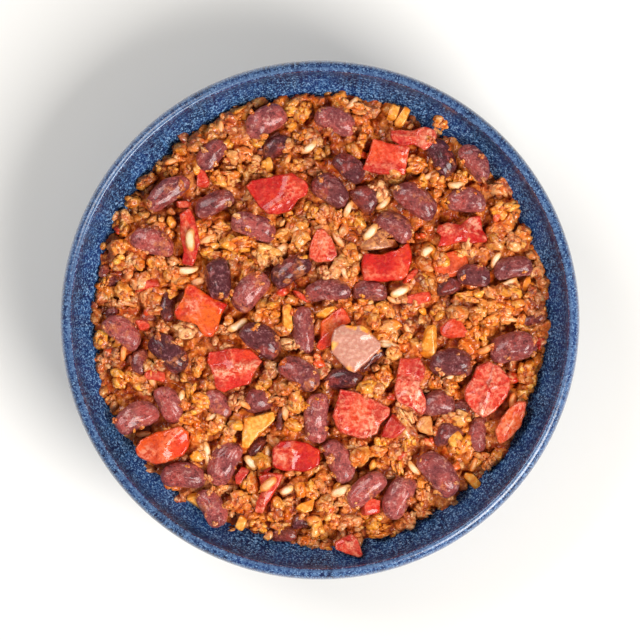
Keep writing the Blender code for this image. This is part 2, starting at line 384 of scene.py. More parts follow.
# the chili's own surface, before any lumps
chiliForm = {
    "edgeLevel": 36.5 * mm, "dome": 2 * mm, "foodRadius": 90 * mm, "edgeFall": 3.5 * mm,
    "edgeWidth": 8 * mm, "lumpSpacing": 16 * mm, "lumpHeight": 3.2 * mm,
    "edgeSpacing": 11 * mm, "edgeHeight": 5 * mm, "intoWall": 0.6 * mm,
}


def surface(x, y):
    # the chili's own level, as its solid has it
    form = chiliForm
    reach = math.hypot(x, y)
    level = form["edgeLevel"] + form["dome"] * (1 - (reach / form["foodRadius"]) ** 2)
    rounded = within((reach - form["foodRadius"] + form["edgeWidth"]) / form["edgeWidth"])
    lumps = form["lumpHeight"] * noise.noise(Vector((x, y, 0)) / form["lumpSpacing"])
    ragged = form["edgeHeight"] * noise.noise(Vector((x, y, bowlForm["radius"])) / form["edgeSpacing"])
    return level + lumps + rounded * ragged - form["edgeFall"] * rounded ** 2


class Level:
    # the same level on a grid, for many places at once

    def __init__(self, reach, step):
        self.reach = reach
        self.step = step
        self.count = int(2 * reach / step) + 2
        places = [index * step - reach for index in range(self.count)]
        self.grid = np.array([[surface(x, y) for y in places] for x in places])

    def at(self, xs, ys):
        across = np.clip((xs + self.reach) / self.step, 0, self.count - 1.001)
        along = np.clip((ys + self.reach) / self.step, 0, self.count - 1.001)
        i = across.astype(int)
        j = along.astype(int)
        u = across - i
        v = along - j
        low = self.grid[i, j] * (1 - u) + self.grid[i + 1, j] * u
        high = self.grid[i, j + 1] * (1 - u) + self.grid[i + 1, j + 1] * u
        return low * (1 - v) + high * v


level = Level(reach=97 * mm, step=0.75 * mm)


# where the mince is more golden with oil, paler, or darker with painted shade: x, y, radius and amount
zones = {
    "golden": [
        (50, 50, 17, 0.9), (66, 38, 14, 1), (68, 0, 16, 0.8), (16, 2, 15, 0.9), (32, -14, 14, 0.8),
        (62, -10, 14, 0.7), (-34, 62, 14, 0.5), (-12, 62, 12, 0.8), (-5, -30, 15, 0.7), (-14, -42, 12, 0.7),
        (0, -72, 16, 0.6), (-32, -66, 14, 0.8), (72, 24, 12, 0.6), (-50, 30, 12, 0.8), (-32, 10, 12, 0.9),
        (14, 45, 10, 0.6), (-24, 34, 14, 0.6), (42, 28, 13, 0.7), (60, -25, 12, 0.7), (20, -55, 14, 0.6),
        (-58, 12, 12, 0.6), (-48, -38, 14, 0.6), (40, 62, 12, 0.7), (-72, 30, 10, 0.6), (52, -50, 12, 0.6),
        (-20, 0, 13, 0.6),
    ],
    "palest": [
        (-50, 1, 14, 0.9), (5, 20, 10, 1), (25, 52, 10, 0.8), (36, -34, 10, 1), (52, -65, 15, 0.9),
        (-31, -28, 10, 0.8), (8, -70, 14, 0.5), (-30, 50, 12, 0.5), (60, 25, 9, 0.6), (18, -62, 9, 0.5),
        (-42, -63, 12, 0.6), (3, -16, 10, 0.6),
    ],
    # patches of painted shade among the pieces
    "gloom": [
        (-62, 50, 12, 0.8), (5, 67, 14, 0.7), (14, 55, 9, 1), (33, 42, 9, 0.8), (50, 38, 7, 0.8),
        (-74, -11, 11, 0.8), (-22, -17, 9, 0.8), (7, -29, 7, 1), (43, -51, 8, 0.6), (28, -65, 8, 0.7),
        (-62, -52, 12, 0.8), (-42, 12, 8, 0.7), (-12, 15, 8, 0.6), (26, 15, 9, 0.5), (-55, 44, 10, 0.5),
        (-70, -34, 10, 0.5), (2, -48, 9, 0.4), (70, 14, 7, 0.4),
    ],
}


def zoneShare(points, rows):
    # full in the inner third of a zone, fading to nothing at its radius
    share = np.zeros(len(points))
    for x, y, radius, amount in rows:
        distance = np.hypot(points[:, 0] - x * mm, points[:, 1] - y * mm) / (radius * mm)
        share = np.maximum(share, amount * smooth(1.0, 0.3, distance))
    return share


wallHeights = np.linspace(bowlForm["floor"], bowlTop, bowlForm["wallLevels"])
wallRadii = [innerRadius(height) for height in wallHeights]


def ground(x, y):
    # the chili's level, or the bowl's wall where that stands higher
    return max(surface(x, y), np.interp(math.hypot(x, y), wallRadii, wallHeights))


def settle(mesh):
    # press the food in against the bowl's wall, then store its height over the chili's level, in
    # millimetres, and the part of each kind of zone that each point is in
    points = pointsOf(mesh)
    limit = np.interp(points[:, 2], wallHeights, wallRadii) + chiliForm["intoWall"]
    points[:, :2] *= np.minimum(1, limit / np.maximum(np.hypot(points[:, 0], points[:, 1]), mm))[:, None]
    mesh.vertices.foreach_set("co", points.ravel())
    setAttribute(mesh, "rise", (points[:, 2] - level.at(points[:, 0], points[:, 1])) / mm)
    for name, rows in zones.items():
        setAttribute(mesh, name, zoneShare(points, rows))


# beans, and slabs of pepper and onion
beanForm = {
    "weld": 0.01 * mm, "faceAngle": 1.2, "shapeAngle": 2.5, "levels": 3, "grow": 1.06,
    "fold": 0.5 * mm, "dent": 0.65 * mm, "stretch": 3.0, "seed": 3,
}
slabForm = {"fold": 0.16 * mm, "dent": 0.4 * mm, "stretch": 1.4, "seed": 8}
# how far apart dents, folds and fine folds are, and how pieces keep apart in the noise
wrinkles = {
    "dent": 6 * mm, "fold": 2.4 * mm, "fine": 1.1 * mm, "fineDepth": 0.4,
    "apart": 10, "shift": (0.37, 0.71, 0),
}
# from dark purple to rose, bean by bean
beanTones = [
    0.6, 0.8, 0.45, 0.5, 0.85, 0.8, 0.35, 0.25, 0.75, 0.5, 0.55, 0.0, 0.6, 0.65, 0.15, 0.7, 0.75, 0.1, 0.7,
    0.75, 0.15, 0.5, 0.5, 0.6, 0.25, 0.5, 1.0, 0.3, 0.5, 0.55, 0.3, 0.6, 0.75, 0.8, 0.75, 0.8, 0.8, 0.6,
]


def fineBean(node, name):
    # the solid's own faces, joined up again and grown, as the cage of a finer bean
    form = beanForm
    shape = bmesh.new()
    shape.from_mesh(nodes[node].data)
    bmesh.ops.remove_doubles(shape, verts=shape.verts, dist=form["weld"])
    bmesh.ops.join_triangles(shape, faces=shape.faces, angle_face_threshold=form["faceAngle"],
                             angle_shape_threshold=form["shapeAngle"])
    middle = sum((vertex.co for vertex in shape.verts), Vector()) / len(shape.verts)
    for vertex in shape.verts:
        vertex.co = middle + (vertex.co - middle) * form["grow"]
    rough = newObject("rough", meshOf(shape, "rough"))
    finer = rough.modifiers.new("finer", "SUBSURF")
    finer.levels = form["levels"]
    finer.render_levels = form["levels"]
    return bake(rough, name)


def rumple(mesh, form, chance):
    # soft dents, then wrinkles drawn out along the piece, both along the surface's own normals
    seed = chance.random() * wrinkles["apart"]
    shift = Vector([seed * part for part in wrinkles["shift"]])
    points = pointsOf(mesh)
    axis = Vector(np.linalg.eigh(np.cov((points - points.mean(0)).T))[1][:, 2])
    normals = [vertex.normal.copy() for vertex in mesh.vertices]
    for vertex, normal in zip(mesh.vertices, normals):
        place = vertex.co + shift
        drawn = place - axis * place.dot(axis) * (1 - 1 / form["stretch"])
        dent = noise.noise(place / wrinkles["dent"]) * form["dent"]
        fold = (0.5 - abs(noise.noise(drawn / wrinkles["fold"]))) * form["fold"]
        fine = noise.noise(drawn / wrinkles["fine"]) * form["fold"] * wrinkles["fineDepth"]
        vertex.co += normal * (dent + fold + fine)
    mesh.update()


def buildBeans(material):
    chance = random.Random(beanForm["seed"])
    made = []
    for tone, node in zip(beanTones, sorted(name for name in nodes if name.startswith("bean_"))):
        mesh = fineBean(node, "beanFine" + node[-2:])
        rumple(mesh, beanForm, chance)
        setAttribute(mesh, "tone", [tone] * len(mesh.vertices))
        settle(mesh)
        made.append(dress(mesh, material, [node]))
    return made


# the cut pieces: tone, paleness, outline, ridges (start, end, height, width)
# and spots (place, radius, shift towards orange, shift towards pale flesh, which on some pieces is a painted
# highlight)
plates = {
    "pepper_01": (0.35, 0.1, [
        (-54.5, 41), (-50.5, 43.5), (-48.5, 39), (-46.5, 30), (-48, 24), (-49.5, 21), (-53.5, 22),
        (-53, 26), (-54, 33),
    ], [
        (-52.5, 40, -50, 24, 0.7, 2),
    ], [
        (-51, 41, 4, 0.1, 0), (-51, 23, 4, -0.35, 0), (-51, 34, 4, 0.5, 0.2),
    ]),
    "pepper_02": (0.15, 0, [
        (-28.6, 51.9), (-26.5, 54), (-16.4, 56.1), (-11, 57.2), (-5.8, 54), (-4.3, 51.4), (-5, 48.2),
        (-9, 46), (-11.6, 42.4), (-15.8, 41.1), (-20, 40.8), (-23.5, 43.7), (-26.5, 48.2),
    ], [
        (-12, 55.5, -13.2, 47.2, 0.9, 2.2), (-13.2, 47.2, -21, 42, 0.9, 2), (-10, 53, -6, 49, 0.7, 1.6),
    ], [
        (-22, 48, 6, 0.05, 0.05), (-8, 52, 5, 0.35, 0.2), (-16, 44, 4, 0.2, 0.1), (-11, 49, 4, 0.2, 0.3),
    ]),
    "pepper_03": (0.5, 0.1, [
        (20.6, 70.3), (27.2, 68.7), (34.8, 67.1), (34, 61.8), (33.3, 56), (23.5, 56.6), (16.2, 58.3),
        (18.6, 64),
    ], [
        (17, 60.5, 33, 58.6, 0.7, 1.6), (31.5, 67, 31, 58, 0.5, 1.8),
    ], [
        (33, 63, 3, 0.1, 0.5), (22, 57.5, 3.5, -0.5, 0), (29, 57, 3.5, -0.5, 0), (22, 65, 5, 0.2, 0.1),
    ]),
    "pepper_04": (0.2, 0.2, [
        (27.3, 73.7), (36.3, 73.7), (41, 75.3), (44.9, 73.7), (45.5, 71.3), (43.1, 67.6), (40.5, 65.8),
        (36.8, 68.2), (31.5, 67.6), (27.6, 69.8),
    ], [
        (36.3, 73.7, 37.6, 68.2, -1.1, 1.8), (28, 71.5, 36, 71, 0.6, 1.8), (40, 74, 43, 68, 0.5, 1.4),
    ], [
        (31, 71, 4, -0.1, -0.1), (41.5, 71, 4.5, 0.1, 0.7),
    ]),
    "pepper_05": (0.5, 0.3, [
        (-1.2, 35.2), (1.7, 35.4), (4.8, 31.5), (6.7, 25.2), (5.4, 22.5), (-1.5, 22.3), (-4.2, 24.1),
        (-4, 29.4),
    ], [
        (0.5, 35, 2.5, 24, 0.8, 2.4),
    ], [
        (1, 30, 4, 0.3, 0.4), (4, 25, 3, -0.3, 0), (-2.5, 25, 3, -0.2, 0),
    ]),
    "pepper_06": (0.2, 0.1, [
        (46, 36.5), (50, 37.8), (54.6, 37), (57.8, 39.9), (62.3, 40.4), (63, 35.4), (65, 31.7),
        (64.6, 30.2), (59.4, 29.6), (54.6, 30.7), (50, 28.6), (45.5, 28.3), (46.8, 32.5), (45, 34.4),
    ], [
        (46, 34, 56, 35.2, 1.2, 2.8), (56, 35.2, 64, 32, 1.0, 2.4), (57.5, 39.5, 57, 35, -0.9, 1.4),
    ], [
        (50, 35.5, 3.5, 0.1, 0.6), (60, 37.5, 3.5, 0.1, 0.6), (49, 30, 3.5, -0.1, -0.1),
        (60, 31, 3.5, -0.1, -0.1),
    ]),
    "pepper_07": (0.95, 0, [
        (-51.4, 14.4), (-48.5, 13.4), (-43.2, 9.7), (-35.8, 6), (-38.5, 2), (-39.3, -3), (-41.6, -6.4),
        (-44.8, -6.4), (-48.5, -1.4), (-55.8, 0.2), (-56.6, 3.4), (-53.2, 9.2),
    ], [
        (-51, 12.5, -39, 4.5, 0.7, 2), (-50, 2, -43, -5, 0.5, 2),
    ], [
        (-49, 11, 3, -0.6, 0), (-43, 8, 3, -0.6, 0), (-37.5, 5, 3, -0.7, 0), (-49.5, 5, 4, -0.35, 0.7),
        (-43, -5.5, 3, -0.3, 0.1), (-55, 3, 3, -0.4, 0),
    ]),
    "pepper_08": (0.4, 0.1, [
        (-43.4, -12.4), (-34.4, -10.9), (-26.5, -11.7), (-22, -15.9), (-25, -19.6), (-27.6, -24.8),
        (-32.3, -26.2), (-37, -28), (-40.4, -26.7), (-41.3, -21.7), (-43.9, -16),
    ], [
        (-35, -11.5, -33, -18.5, 1.1, 2.4), (-41.5, -20.5, -23.5, -17.5, 1.3, 3),
    ], [
        (-38, -20.5, 2.8, 0.1, 1), (-34, -19.5, 2.8, 0.1, 1), (-30, -18.7, 2.8, 0.1, 1),
        (-26, -17.8, 2.8, 0.1, 0.8), (-33, -25, 4, -0.1, -0.1), (-28, -13.5, 3.5, 0.1, -0.1),
    ]),
    "pepper_09": (0.3, 0, [
        (17.2, 25.8), (24.1, 25.5), (29.8, 27.1), (34.1, 30), (35.2, 27), (35.4, 22.4), (34.1, 17.6),
        (31.4, 15.5), (23.5, 14.9), (16.7, 15.3), (16.2, 22.4),
    ], [
        (30, 27, 33.6, 17.5, 0.6, 1.8), (18, 17.5, 30, 17, 0.5, 2),
    ], [
        (25, 22.5, 5, -0.3, -0.1), (32.5, 27, 3, -0.2, 0), (31, 18.5, 4, 0.35, 0.2), (19, 18, 4, 0.3, 0.2),
    ]),
    "pepper_10": (0.8, 0, [
        (4.2, 2.4), (8.6, 5.4), (10.6, 2.6), (12.2, -0.8), (9, -3), (6.5, -6), (4.4, -10.5), (0, -12),
        (-1.8, -10.5), (0.4, -7), (0.2, -1),
    ], [
        (8.5, 4, 6, -3, 0.4, 2),
    ], [
        (8, 1.5, 3.5, -0.5, 0.2), (1, -8, 3.5, -0.5, 0.1), (4, -2, 3.5, 0.2, 0.3),
    ]),
    "pepper_11": (0.45, 0.3, [
        (7.8, -26.7), (12.5, -27.5), (17.8, -29.3), (23, -31.9), (27, -34.2), (26.7, -37.2), (23, -40.4),
        (22.5, -44), (17.8, -46), (12.5, -45), (7.3, -43.5), (5, -37.5), (6.6, -31),
    ], [
        (8, -30, 9, -42, 0.8, 2), (15, -32, 21, -39, 0.8, 2.4), (11, -36, 17, -43, 0.6, 1.8),
    ], [
        # the pale spot at (20, -41) is a painted highlight
        (9, -30, 4, -0.3, -0.1), (20, -41, 4, 0.1, 0.5), (16, -36, 4, 0.3, 0.2), (7, -40, 3, -0.3, 0),
    ]),
    "pepper_12": (0.2, 0.35, [
        (31, -14.8), (38.5, -14.6), (41, -18.8), (40.4, -22.5), (38.5, -25), (41, -30.4), (41.4, -34.6),
        (39.8, -37), (35, -34), (30, -31.5), (28.8, -27.8), (29.8, -21.5),
    ], [
        (29.5, -20.5, 41, -23, -1.3, 1.8), (30, -31, 38, -27, 0.9, 2.4), (33, -24, 36, -33, 0.6, 2),
    ], [
        (34, -16, 4, -0.2, -0.3), (35, -26, 5, 0.1, 0.5), (38, -33, 4, 0.1, 0.4),
    ]),
    "pepper_13": (0.4, 0.3, [
        (61, -18.2), (65.6, -16), (69.8, -18), (73.5, -22.9), (73.5, -27.1), (71.4, -31), (67.7, -35.5),
        (63.5, -38), (58.8, -35), (56.4, -31.3), (56.2, -26.6), (59.3, -22.5),
    ], [
        (66, -25, 57.5, -22, 0.6, 1.3), (66, -25, 57, -30, 0.6, 1.3), (66, -25, 62, -36, 0.6, 1.3),
        (66, -25, 70, -33, 0.6, 1.3), (66, -25, 73, -26, 0.6, 1.3), (66, -25, 68, -17.5, 0.6, 1.3),
    ], [
        (67, -22, 4, 0.2, 0.2), (64, -35.5, 3.5, -0.2, 0.6), (58.5, -25, 3.5, -0.2, 0.2),
    ]),
    "pepper_14": (0.85, 0.3, [
        (77, -31.6), (79.7, -31.8), (79.5, -36.3), (77.9, -41.6), (73.2, -46.3), (70.5, -48.2),
        (68.9, -47.4), (68, -42.6), (70, -38.4), (73.2, -34.2),
    ], [
        (78, -32.5, 71, -45, 0.8, 2),
    ], [
        (78, -34, 3, -0.4, 0), (71, -45, 3, -0.3, 0),
    ]),
    "pepper_15": (0.8, 0, [
        (-71.4, -49.7), (-69.8, -46.6), (-62.5, -43.4), (-54.1, -41), (-50.8, -43.4), (-50.6, -49),
        (-53, -52.2), (-59.8, -55.3), (-64, -55.8), (-68.5, -54), (-70.8, -52.6),
    ], [
        (-54, -42, -60.5, -49, 1.0, 5), (-70, -50, -61, -52, 0.4, 2.6),
    ], [
        # the pale spots at (-67, -52) and (-57, -45) are painted highlights
        (-54, -48, 5, -0.4, 0), (-67, -52, 3.5, 0, 0.5), (-60, -53.5, 3, 0, 0.3), (-57, -45, 2.6, 0, 0.5),
    ]),
    "pepper_16": (0.45, 0.1, [
        (-24, -60.5), (-19.8, -59.4), (-14.4, -59.8), (-15.6, -63.4), (-18.8, -68.4), (-20.4, -71.3),
        (-22.3, -75.3), (-25.6, -74.5), (-24.8, -70.5), (-22.4, -66.5),
    ], [
        (-19, -60.5, -22.5, -72, 0.6, 2),
    ], [
        (-19, -61, 4, -0.1, 0.2), (-23, -73, 3, 0.1, 0.4),
    ]),
    "pepper_17": (0.05, 0, [
        (-18.6, -50), (-15.2, -47.1), (-10.4, -46.5), (-4.6, -47.8), (0.1, -50.5), (-0.4, -56.3),
        (-4.6, -58.4), (-12.5, -58.8), (-17.3, -57.6), (-18.9, -55.3),
    ], [
        (-11, -46.5, -11, -58.5, 0.8, 3), (-18, -50.5, -11, -49.5, 0.5, 1.4),
    ], [
        # the pale spot at (-15.5, -53.5) is a painted highlight
        (-15.5, -53.5, 3.5, 0.1, 0.7), (-3, -55, 4, 0.1, 0),
    ]),
    "pepper_18": (0.3, 0.2, [
        (5.6, -86.2), (8.5, -84.3), (12.2, -82.8), (14.8, -85.1), (16.5, -90.9), (15.3, -92), (10.6, -90.6),
        (5.8, -88.8),
    ], [
        (9, -85, 15, -91, 0.6, 1.8),
    ], [
        (13, -86, 3, -0.1, 0.4), (8, -88, 3, 0.1, 0),
    ]),
    "onion_01": (1.0, 0, [
        (5.6, -3.6), (9, -1.4), (12, -2), (16.8, -2.2), (20, -5.4), (23.8, -9), (23.6, -11), (19, -15.4),
        (13.4, -20.6), (11.2, -19.4), (7.5, -15.6), (4.4, -12.6), (4.2, -8),
    ], [
        (6, -6.5, 19, -5.5, 0.6, 2),
    ], [
        (12, -1.5, 3, -0.8, 0), (17, -2.5, 3, -0.8, 0), (4.5, -10, 2.6, -0.8, 0), (11, -19, 2.5, -0.6, 0),
        (20, -5, 2.5, -0.6, 0),
    ]),
    "onion_02": (0.1, 0.1, [
        (-29.6, -38.2), (-25.5, -37.2), (-18, -35.6), (-17.4, -38.5), (-20.7, -41.8), (-24, -45),
        (-28, -50), (-30.4, -49.5), (-30, -43.7),
    ], [
        (-28, -39, -27.5, -48, 0.5, 2),
    ], [
        (-25, -41, 4, 0.2, 0.1),
    ]),
}
plateForm = {
    "edge": 0.7 * mm, "dome": 0.5 * mm, "step": 0.6 * mm, "pepperThickness": 4.4 * mm,
    "onionThickness": 3.2 * mm, "ragged": 0.25 * mm, "raggedSpacing": 2.2 * mm, "upperFace": 0.7,
    "rings": [0.16, 0.32, 0.47, 0.6, 0.71, 0.8, 0.87, 0.92, 0.955, 0.98, 1.0],
    "skirt": [(0.35, 0.15), (0.7, 0.0), (1.0, -0.6)],  # part of the thickness, and how far out
    "spotSpacing": 1.6 * mm, "spotWaver": 0.7, "spotFade": 0.6,
}


def walkOutline(corners, form):
    # even steps around an outline, its corners slightly softened and its sides a little ragged
    points = []
    for index, start in enumerate(corners):
        end = corners[(index + 1) % len(corners)]
        count = max(int((end - start).length / form["step"]), 1)
        points += [start.lerp(end, share / count) for share in range(count)]
    count = len(points)
    points = [(points[i - 1] + points[i] * 2 + points[(i + 1) % count]) / 4 for i in range(count)]
    middle = sum(points, Vector((0, 0))) / len(points)
    walked = []
    for point in points:
        waver = noise.noise(Vector((point.x, point.y, 0)) / form["raggedSpacing"]) * form["ragged"]
        walked.append(point + (point - middle).normalized() * waver)
    return walked


def upperPlane(node):
    # the plane through a solid's upper faces, as slopes and height
    mesh = nodes[node].data
    rows = []
    heights = []
    for face in mesh.polygons:
        if face.normal.z > plateForm["upperFace"]:
            for corner in face.vertices:
                spot = mesh.vertices[corner].co
                rows.append((spot.x, spot.y, 1))
                heights.append(spot.z)
    return np.linalg.lstsq(np.array(rows), np.array(heights), rcond=None)[0]


def ridgeAt(place, ridges):
    # how far a place is raised by the ridges, and how much it is one, which is where a highlight is painted
    raised = 0
    sharp = 0
    for x1, y1, x2, y2, height, width in ridges:
        start = Vector((x1, y1)) * mm
        run = Vector((x2, y2)) * mm - start
        share = within((place - start).dot(run) / run.length_squared)
        near = max(1 - (place - start - run * share).length / (width * mm), 0)
        raised += height * mm * near
        if height > 0:
            sharp = max(sharp, near ** 3)
    return raised, sharp


def plateMesh(node, outline, ridges, thickness, name):
    # a thin cut piece with crisp edges, lying in the plane of its solid's upper faces
    form = plateForm
    slopeX, slopeY, height = upperPlane(node)
    edge = walkOutline([Vector(corner) * mm for corner in outline], form)
    middle = sum(edge, Vector((0, 0))) / len(edge)
    points = []
    sharps = []

    def add(place, drop, sharp=0):
        points.append((place.x, place.y, slopeX * place.x + slopeY * place.y + height - drop))
        sharps.append(sharp)

    raised, sharp = ridgeAt(middle, ridges)
    add(middle, -form["dome"] - raised, sharp)
    for ring in form["rings"]:
        for corner in edge:
            place = middle + (corner - middle) * ring
            inset = (corner - middle).length * (1 - ring)
            lost = form["edge"] * (1 - math.sqrt(1 - max(1 - inset / form["edge"], 0) ** 2))
            raised, sharp = ridgeAt(place, ridges)
            add(place, lost - form["dome"] * (1 - ring ** 2) - raised, sharp)
    for share, grow in form["skirt"]:
        for corner in edge:
            outward = (corner - middle).normalized() * grow * mm
            add(corner + outward, form["edge"] + (thickness - form["edge"]) * share)
    add(middle, thickness)
    count = len(edge)
    rows = (len(points) - 2) // count
    faces = [(0, 1 + i, 1 + (i + 1) % count) for i in range(count)]
    for row in range(rows - 1):
        for i in range(count):
            a = 1 + row * count + i
            b = 1 + row * count + (i + 1) % count
            faces.append((a, a + count, b + count, b))
    last = len(points) - 1
    first = 1 + (rows - 1) * count
    faces += [(first + i, last, first + (i + 1) % count) for i in range(count)]
    mesh = meshFrom(name, points, faces)
    # how much each point is on a ridge, where a highlight is painted
    setAttribute(mesh, "ridge", sharps)
    return mesh


def spotted(mesh, start, spots, column):
    # a base value, shifted around each spot with a ragged border
    form = plateForm
    values = []
    for vertex in mesh.vertices:
        value = start
        waver = 1 + form["spotWaver"] * noise.noise(vertex.co / form["spotSpacing"])
        for spot in spots:
            distance = math.hypot(vertex.co.x / mm - spot[0], vertex.co.y / mm - spot[1])
            value += spot[column] * max(1 - distance / spot[2] * waver, 0) ** form["spotFade"]
        values.append(within(value))
    return values


def buildPlates(kind, material):
    chance = random.Random(slabForm["seed"])
    made = []
    for node, (tone, pale, outline, ridges, spots) in plates.items():
        if node.startswith(kind):
            thickness = plateForm[kind + "Thickness"]
            mesh = plateMesh(node, outline, ridges, thickness, kind + "Fine" + node[-2:])
            rumple(mesh, slabForm, chance)
            setAttribute(mesh, "tone", spotted(mesh, tone, spots, 3))
            setAttribute(mesh, "pale", spotted(mesh, pale, spots, 4))
            settle(mesh)
            made.append(dress(mesh, material, [node]))
    return made


def clinging(g, here, colour, strength, dark, light):
    # sauce that has crept up the sides of a piece
    ragged = g.noise(here, 380, 3, 0.6)
    film = g.between(g.attribute("rise") + (ragged - 0.5) * 5, 2.4, -0.8) * strength
    return g.mix(film, colour, g.mix(g.between(ragged, 0.4, 0.6), dark, light))


beanLook = {
    "dark": tint(70, 16, 26), "rose": tint(200, 94, 88), "darkPatch": tint(96, 32, 46),
    "redPatch": tint(196, 66, 54), "paintedGlintOnDark": tint(180, 112, 120), "paintedGlintOnRose": tint(246, 190, 174),
    "grainHollowShade": tint(40, 2, 8), "smear": tint(222, 126, 62), "gleam": (1.0, 0.66, 0.62, 1),
    "sauce": (tint(110, 20, 10), tint(214, 104, 30)), "relief": 2.6 * mm,
}


def beanMaterial():
    look = beanLook
    material, g, here = newMaterial("kidneyBeanSkin")
    tone = g.attribute("tone")
    patch = g.noise(here, 150, 3, 0.6)
    smear = g.noise(here, 95, 3, 0.7)
    film = g.noise(here, 420, 4, 0.75)
    grain = film * 0.7 + g.noise(here, 1250, 3, 0.7) * 0.3
    skin = g.layers(g.mix(g.between(tone, 0.0, 1.0), look["dark"], look["rose"]), [
        (patch, 0.47, 0.62, 0.5, look["darkPatch"]),
        (patch, 0.5, 0.36, 0.45, look["redPatch"]),
        # painted highlight on the raised grain of the relief, pale on dark beans and rosy on rose ones
        (grain, 0.52, 0.62, 0.7, g.mix(tone, look["paintedGlintOnDark"], look["paintedGlintOnRose"])),
        # painted shade in the hollows of that relief
        (grain, 0.49, 0.38, 0.65, look["grainHollowShade"]),
        (smear, 0.56, 0.66, g.between(film, 0.4, 0.55) * 0.6, look["smear"])])
    finishMaterial(g, clinging(g, here, skin, 0.5, *look["sauce"]), 0.24 + 0.26 * film,
                   {"Specular IOR Level": 0.5, "Specular Tint": look["gleam"], "Coat Weight": 0.55,
                    "Coat Roughness": 0.16}, grain, look["relief"], 1.0)
    return material


pepperLook = {
    "tones": [(0.0, tint(190, 12, 12)), (0.35, tint(214, 24, 8)), (0.65, tint(228, 58, 8)),
              (1.0, tint(236, 100, 14))],
    "orangePatch": tint(234, 76, 14), "darkPatch": tint(164, 8, 4), "paleFleshAndSheen": tint(242, 136, 100),
    "whiteFleshAndGlint": tint(252, 206, 172), "lightFibreAndGlint": tint(246, 112, 62), "darkFibre": tint(146, 6, 2),
    "ridge": tint(250, 160, 118), "sauce": (tint(150, 14, 4), tint(230, 104, 24)), "relief": 2 * mm,
}


def pepperMaterial():
    look = pepperLook
    material, g, here = newMaterial("stewedPepper")
    pale = g.attribute("pale")
    patch = g.noise(here, 130, 3, 0.6)
    fibre = g.noise(here, 620, 4, 0.7)
    coarse = g.noise(here, 300, 3, 0.65)
    red = g.layers(g.ramp(g.attribute("tone"), look["tones"]), [
        (patch, 0.5, 0.62, 0.4, look["orangePatch"]),
        (patch, 0.48, 0.38, 0.5, look["darkPatch"]),
        # pale flesh, and in some spots a painted highlight
        (coarse, 0.36, 0.56, pale * 0.8, look["paleFleshAndSheen"]),
        (fibre, 0.48, 0.6, pale * 0.8, look["whiteFleshAndGlint"]),
        # lighter fibre streaks on the raised relief: partly fibre, partly a painted highlight
        (fibre, 0.54, 0.66, 0.25, look["lightFibreAndGlint"]),
        (fibre, 0.47, 0.37, 0.35, look["darkFibre"]),
        # painted highlight along the raised ridges
        (fibre, 0.42, 0.58, g.attribute("ridge") * 0.5, look["ridge"])])
    finishMaterial(g, clinging(g, here, red, 0.35, *look["sauce"]), 0.2 + 0.25 * fibre,
                   {"Specular IOR Level": 0.2, "Coat Weight": 0.6, "Coat Roughness": 0.1,
                    **juicy(0.05, 0.004, 0.0012, 0.0006)},
                   fibre * 0.55 + coarse * 0.45, look["relief"], 0.9)
    return material


onionLook = {  # pairs of a yellow and a pink onion's colours
    "flesh": (tint(244, 150, 30), tint(196, 132, 112)), "patch": (tint(252, 186, 84), tint(208, 146, 124)),
    "light": (tint(254, 212, 132), tint(230, 186, 162)), "dark": (tint(222, 92, 8), tint(178, 108, 88)),
    "browned": (tint(118, 48, 12), tint(206, 128, 56)), "sauce": (tint(170, 56, 6), tint(236, 126, 20)),
    "relief": 1.2 * mm,
}


def onionMaterial():
    look = onionLook
    material, g, here = newMaterial("stewedOnion")
    patch = g.noise(here, 160, 3, 0.6)
    fine = g.noise(here, 700, 3, 0.6)
    pink = g.between(g.attribute("tone"), 0.3, 0.8)
    colour = g.layers(g.mix(pink, *look["flesh"]), [
        (patch, 0.47, 0.62, 0.6, g.mix(pink, *look["patch"])),
        # painted highlight on the raised speckles of the fine relief
        (fine, 0.48, 0.64, 0.4, g.mix(pink, *look["light"])),
        # painted shade in the hollows of that relief
        (fine, 0.49, 0.38, 0.35, g.mix(pink, *look["dark"]))])
    colour = g.mix(g.attribute("pale"), colour, g.mix(g.between(fine, 0.4, 0.6), *look["browned"]))
    finishMaterial(g, clinging(g, here, colour, 0.8, *look["sauce"]), 0.24 + 0.25 * patch,
                   {"Specular IOR Level": 0.25, "Coat Weight": 0.6, "Coat Roughness": 0.12,
                    **juicy(0.2, 0.005, 0.002, 0.001)}, patch * 0.6 + fine * 0.4, look["relief"], 0.9)
    return material


# smaller pieces, half sunk, that the solids leave out: x, y, length, width, turn, tone
sunkenBeans = [
    (-17, 67, 13, 8, 30, 0.05), (17, 47, 12, 9, -50, 0.3), (9, -23, 16, 8, 5, 0.0),
    (-24, -32, 11, 9, 0, 0.5), (-40, -33, 13, 9, -45, 0.8), (46, -33, 14, 10, 0, 0.5),
    (50, -45, 12, 8, 20, 0.3), (62, -44, 14, 7, 85, 0.6), (-59, 6, 13, 6, 85, 0.0),
    (20, -15, 13, 6, 40, 0.05), (50, 13, 11, 7, 20, 0.0), (83, 0, 10, 4, 15, 0.3),
    (-14, -84, 10, 6, 0, 0.3), (-24, -49, 11, 4, 50, 0.0), (-70, -16, 10, 6, 80, 0.4),
    (55, -34, 7, 5, 0, 0.0), (-67, 1, 6, 4, 0, 0.3), (-81, 3, 5, 4, 30, 0.4), (-84, 19, 6, 4, 70, 0.3),
    (-7, -79, 8, 6, 10, 0.0), (-18, -73, 7, 4, 60, 0.0), (-15, -38.5, 9, 3, 75, 0.1),
    (-20, 68.7, 12, 3.5, 50, 0.1), (-81, 15, 6, 4, 20, 0.0),
]
